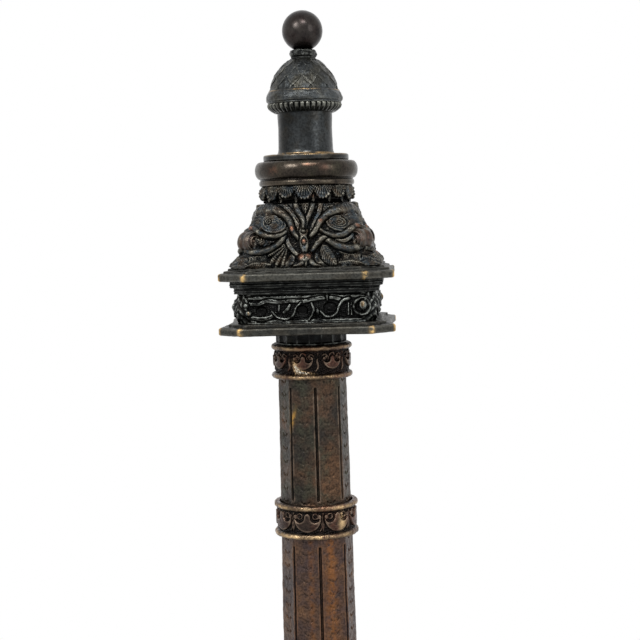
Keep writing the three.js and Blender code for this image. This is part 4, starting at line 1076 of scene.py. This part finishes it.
def build_band(index):
    """A ring band: a bead at each edge, rubbed to bare metal, and eight crescents between them on ground
    blacked by painted shade.
    """
    node = f"band_{index}"
    base, height = span(node)
    body = column_radius(base + height / 2) + BAND_RISE
    top, foot = column_radius(base + height), column_radius(base)
    hole, bead, bead_rise, border = foot + 0.9, 4.4, 1.9, 4.7
    outline = [[hole, 0], [foot + 1.6, 0]]
    outline += half_round(body - 0.4, bead_rise, 0, bead, np.linspace(0.35, pi - 0.2, 10))
    outline += [[body, 5], [body, height - 5]]
    outline += half_round(body - 0.4, bead_rise, height - bead, bead, np.linspace(0.2, pi - 0.35, 10))
    outline += [[top + 1.6, height], [hole, height]]
    columns, crescents = 640, 8
    grid, angle, radius, level = turned_on(node, outline, columns, 0.34, 1)
    pattern = slice(0, columns // crescents)
    across = (angle[:, pattern] % tau - pi / 8) * body
    layers = carve_band(across, level[:, pattern] - border, 0.72 if index == 1 else 1.0)
    carved, dark = (np.roll(np.tile(layer, (1, crescents)), 22, 1) for layer in layers)
    zone = (level > border) & (level < height - border)
    fade = faded(grid, radius > body - 1.2, 0.25)
    skin = lumps(grid, 1.6, 0.1, 30 + index)
    carved = np.where(zone, carved, 0.0) + skin
    grid = lifted(grid, np.minimum(carved, 0.4) * fade)
    wear = 0.55 + 0.45 * np.sin(3 * angle + index) * np.cos(5 * angle + 2 * index + level / 9)
    wear = wear * (0.5 if index == 1 else 1.0)
    bare = bump(np.minimum(np.abs(level - 2.4), np.abs(height - level - 2.4)), 0, 1.5) * wear
    turned_to, spot = facing(angle), np.zeros(bare.shape)
    if index == 1:
        spot = 2.2 * bump(turned_to + 0.6 * (level - 9), -21, 5) * bump(level, 9, 5)
        spot = spot + 2.2 * bump(turned_to, -8, 11) * bump(level + 0.08 * turned_to, 5.2, 1.2)
    if index == 2:
        spot = 0.95 * bump(turned_to, 42, 5) * bump(level, 14, 7)
    # Painted shade on the band's ground, lifted where the spots are.
    dark = dark * zone * np.clip(1 - spot, 0, 1)
    piece(node, [grid], "band_brown", copper=(bare + spot) * fade, dark=dark * fade)


def build_neck():
    base, height = span("column_neck")
    angle = round_angles(720)
    radius = column_radius(base) + 1.6
    flutes = 18
    flute = radius - 1.5 * np.abs(np.cos(flutes / 2 * angle)) ** 0.7
    hole = radius - SHAFT_WALL
    sections = [(0, hole), (0, radius), (1.4, radius), (1.9, flute), (height - 1.9, flute)]
    sections += [(height - 1.4, radius), (height, radius), (height, hole)]
    grid = stacked(sections, angle, 0.4, 1, base)
    piece("column_neck", [grid], "black_cast", dark=np.clip(0.6 + lumps(grid, 3, 0.5, 17), 0, 0.95))


def build_base_collar():
    top = column_radius(low("base_collar")) + BAND_RISE
    outline = [[5.3, 9.95], [top - 9, 9.95], [top - 9, 0], [top, 0], [top, 3]]
    outline += half_round(top, 51 - top, 3, 12, np.linspace(0, pi, 18)) + [[top, 19.9], [5.3, 19.9]]
    grid, angle, radius, level = turned_on("base_collar", outline, 320, 0.5)
    swell = (radius > 43) * np.sin(np.clip((level - 3) / 12, 0, 1) * pi)
    gadroons = 32
    gadroon = 0.8 * (np.abs(np.cos(gadroons / 2 * angle)) ** 0.6 - 1) * swell
    piece("base_collar", [lifted(grid, gadroon)], "torus_brown")


def build_skirt():
    base, height = span("base_skirt")
    angle = face_angles(180)
    foot = square_radius(angle, 262, 34)
    top = square_radius(angle, 206, 17)
    cavity = square_radius(angle, 170, 15)
    rises = np.linspace(0, 1, 30)
    spread = np.interp(rises, [0, 0.15, 0.35, 0.68, 1], [1, 0.98, 0.45, 0.12, 0])
    sections = [(height * t, top * (1 - s) + foot * s) for t, s in zip(rises, spread)]
    sections += [(height, cavity), (0, cavity)]
    grid = stacked(sections, angle, 0.6, 2, base)
    piece("base_skirt", [lifted(grid, lumps(grid, 4, 0.1, 12))], "dark_plate")


def build_feet():
    for index in range(1, 5):
        node = f"foot_{index}"
        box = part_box(node)
        middle = [(box[0][i] + box[1][i]) / 2 / MM for i in (0, 1)]
        outline = [[6, 0.1], [12, 0.1], [14.8, 1.4], [16.6, 4.6], [16.8, 8.5], [16.4, 12], [14.4, 15]]
        outline += [[12, 16.8], [12, 19.9], [3.5, 19.9], [3.5, 8], [6, 8]]
        grid = turned(outline, 120, 0.6, 2)
        grid = lifted(grid, -np.abs(lumps(grid, 5, 0.08, 13))) + np.array([*middle, 0])
        piece(node, [grid], "dark_smooth")


build_shaft(1, "brown_upper")
for number in range(2, 6):
    build_shaft(number, "brown_lower")
for number in range(1, 7):
    build_band(number)
build_neck()
build_base_collar()
build_skirt()
build_feet()

# CAD nodes that stay, in procedural materials.
STAYING = {
    "steel_hardware": [
        "tie_rod", "top_washer", "top_nut", "bottom_washer", "bottom_nut", "knob_stud", "knob_nut",
        *(f"foot_screw_{number}" for number in range(1, 5)),
    ],
    "rough_iron": ["base_weight"],
    "dark_smooth": ["candle_seat"],
}
for material, names in STAYING.items():
    for name in names:
        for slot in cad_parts[name].material_slots:
            slot.material = METALS[material]

# Floor, light and camera

FLOOR_REACH = 12.0  # metres
SHADOW_REACH = (0.7, 1.7)  # metres from the object, where the floor fades to white


def sight(look):
    """1 where the camera, a reflection or glass looks, and 0 for light that falls on things."""
    path = look.add("LightPath", {})
    value = path["Is Camera Ray"]
    for other in ("Is Glossy Ray", "Is Transmission Ray"):
        value = look.add("Math", {0: value, 1: path[other]}, operation="MAXIMUM")["Value"]
    return value


def floor_material():
    """Pale floor that keeps the object's shadow and fades to the white backdrop away from it."""
    look = Shading(bpy.data.materials.new("pale_floor"))
    surface = look.nodes["Principled BSDF"]
    look.feed(surface.inputs["Base Color"], (0.86, 0.86, 0.85))
    look.feed(surface.inputs["Roughness"], 0.9)
    away = look.add("VectorMath", {0: look.place()}, operation="LENGTH")["Value"]
    share = look.times(look.ramp(away, *SHADOW_REACH), sight(look))
    white = look.add("Emission", {})["Emission"]
    mixed = look.add("MixShader", {"Fac": share, 1: surface.outputs["BSDF"], 2: white})["Shader"]
    look.feed(look.nodes["Material Output"].inputs["Surface"], mixed)
    return look.owner


def build_floor():
    around = [(FLOOR_REACH * cos(a), FLOOR_REACH * sin(a), 0) for a in round_angles(64)]
    mesh = bpy.data.meshes.new("floor")
    mesh.from_pydata(around, [], [list(range(64))])
    mesh.materials.append(floor_material())
    obj = bpy.data.objects.new("floor", mesh)
    bpy.context.collection.objects.link(obj)


def build_world():
    world = bpy.data.worlds.new("studio")
    bpy.context.scene.world = world
    look = Shading(world)
    backdrop = look.nodes["Background"].inputs
    look.feed(backdrop["Color"], (1, 1, 1))
    strength = look.add("MapRange", {"Value": sight(look), "To Min": 0.35, "To Max": 1.0})["Result"]
    look.feed(backdrop["Strength"], strength)


def add_aimed(name, data, place, target, tilt=0.0):
    """A light or camera at place that looks at target, leaning by tilt."""
    obj = bpy.data.objects.new(name, data)
    aim = (Vector(target) - Vector(place)).to_track_quat("-Z", "Y").to_matrix()
    obj.matrix_world = Matrix.Translation(place) @ (aim @ Matrix.Rotation(-tilt, 3, "Z")).to_4x4()
    bpy.context.collection.objects.link(obj)
    return obj


def add_light(name, place, height, size, power):
    """A rectangular light that looks at this height of the object."""
    light = bpy.data.lights.new(name, "AREA")
    light.shape = "RECTANGLE"
    light.size, light.size_y = size
    light.energy = power
    add_aimed(name, light, place, (0, 0, height))


def build_camera():
    """The photograph's view: 1.2 m away, level with the candle socket's foot, leaning a little."""
    azimuth, distance, eye_height = radians(3.5), 1.2, 0.9602
    aim_height, aim_aside = 0.8723, 0.0076
    focal_pixels, picture_pixels, sensor = 1460, 640, 36
    camera = bpy.data.cameras.new("camera")
    camera.lens, camera.sensor_width = sensor * focal_pixels / picture_pixels, sensor
    camera.clip_end = 100
    place = (sin(azimuth) * distance, -cos(azimuth) * distance, eye_height)
    target = (cos(azimuth) * aim_aside, sin(azimuth) * aim_aside, aim_height)
    bpy.context.scene.camera = add_aimed("camera", camera, place, target, radians(1.67))


build_floor()
build_world()
add_light("key", (-1.3, -1.9, 2.3), 0.9, (0.8, 0.8), 32)
add_light("top", (0.25, -1.5, 2.6), 0.95, (0.7, 0.5), 18)
add_light("fill", (1.9, -1.5, 1.5), 0.85, (1.2, 1.2), 12)
build_camera()
bpy.context.scene.view_settings.view_transform = "Standard"
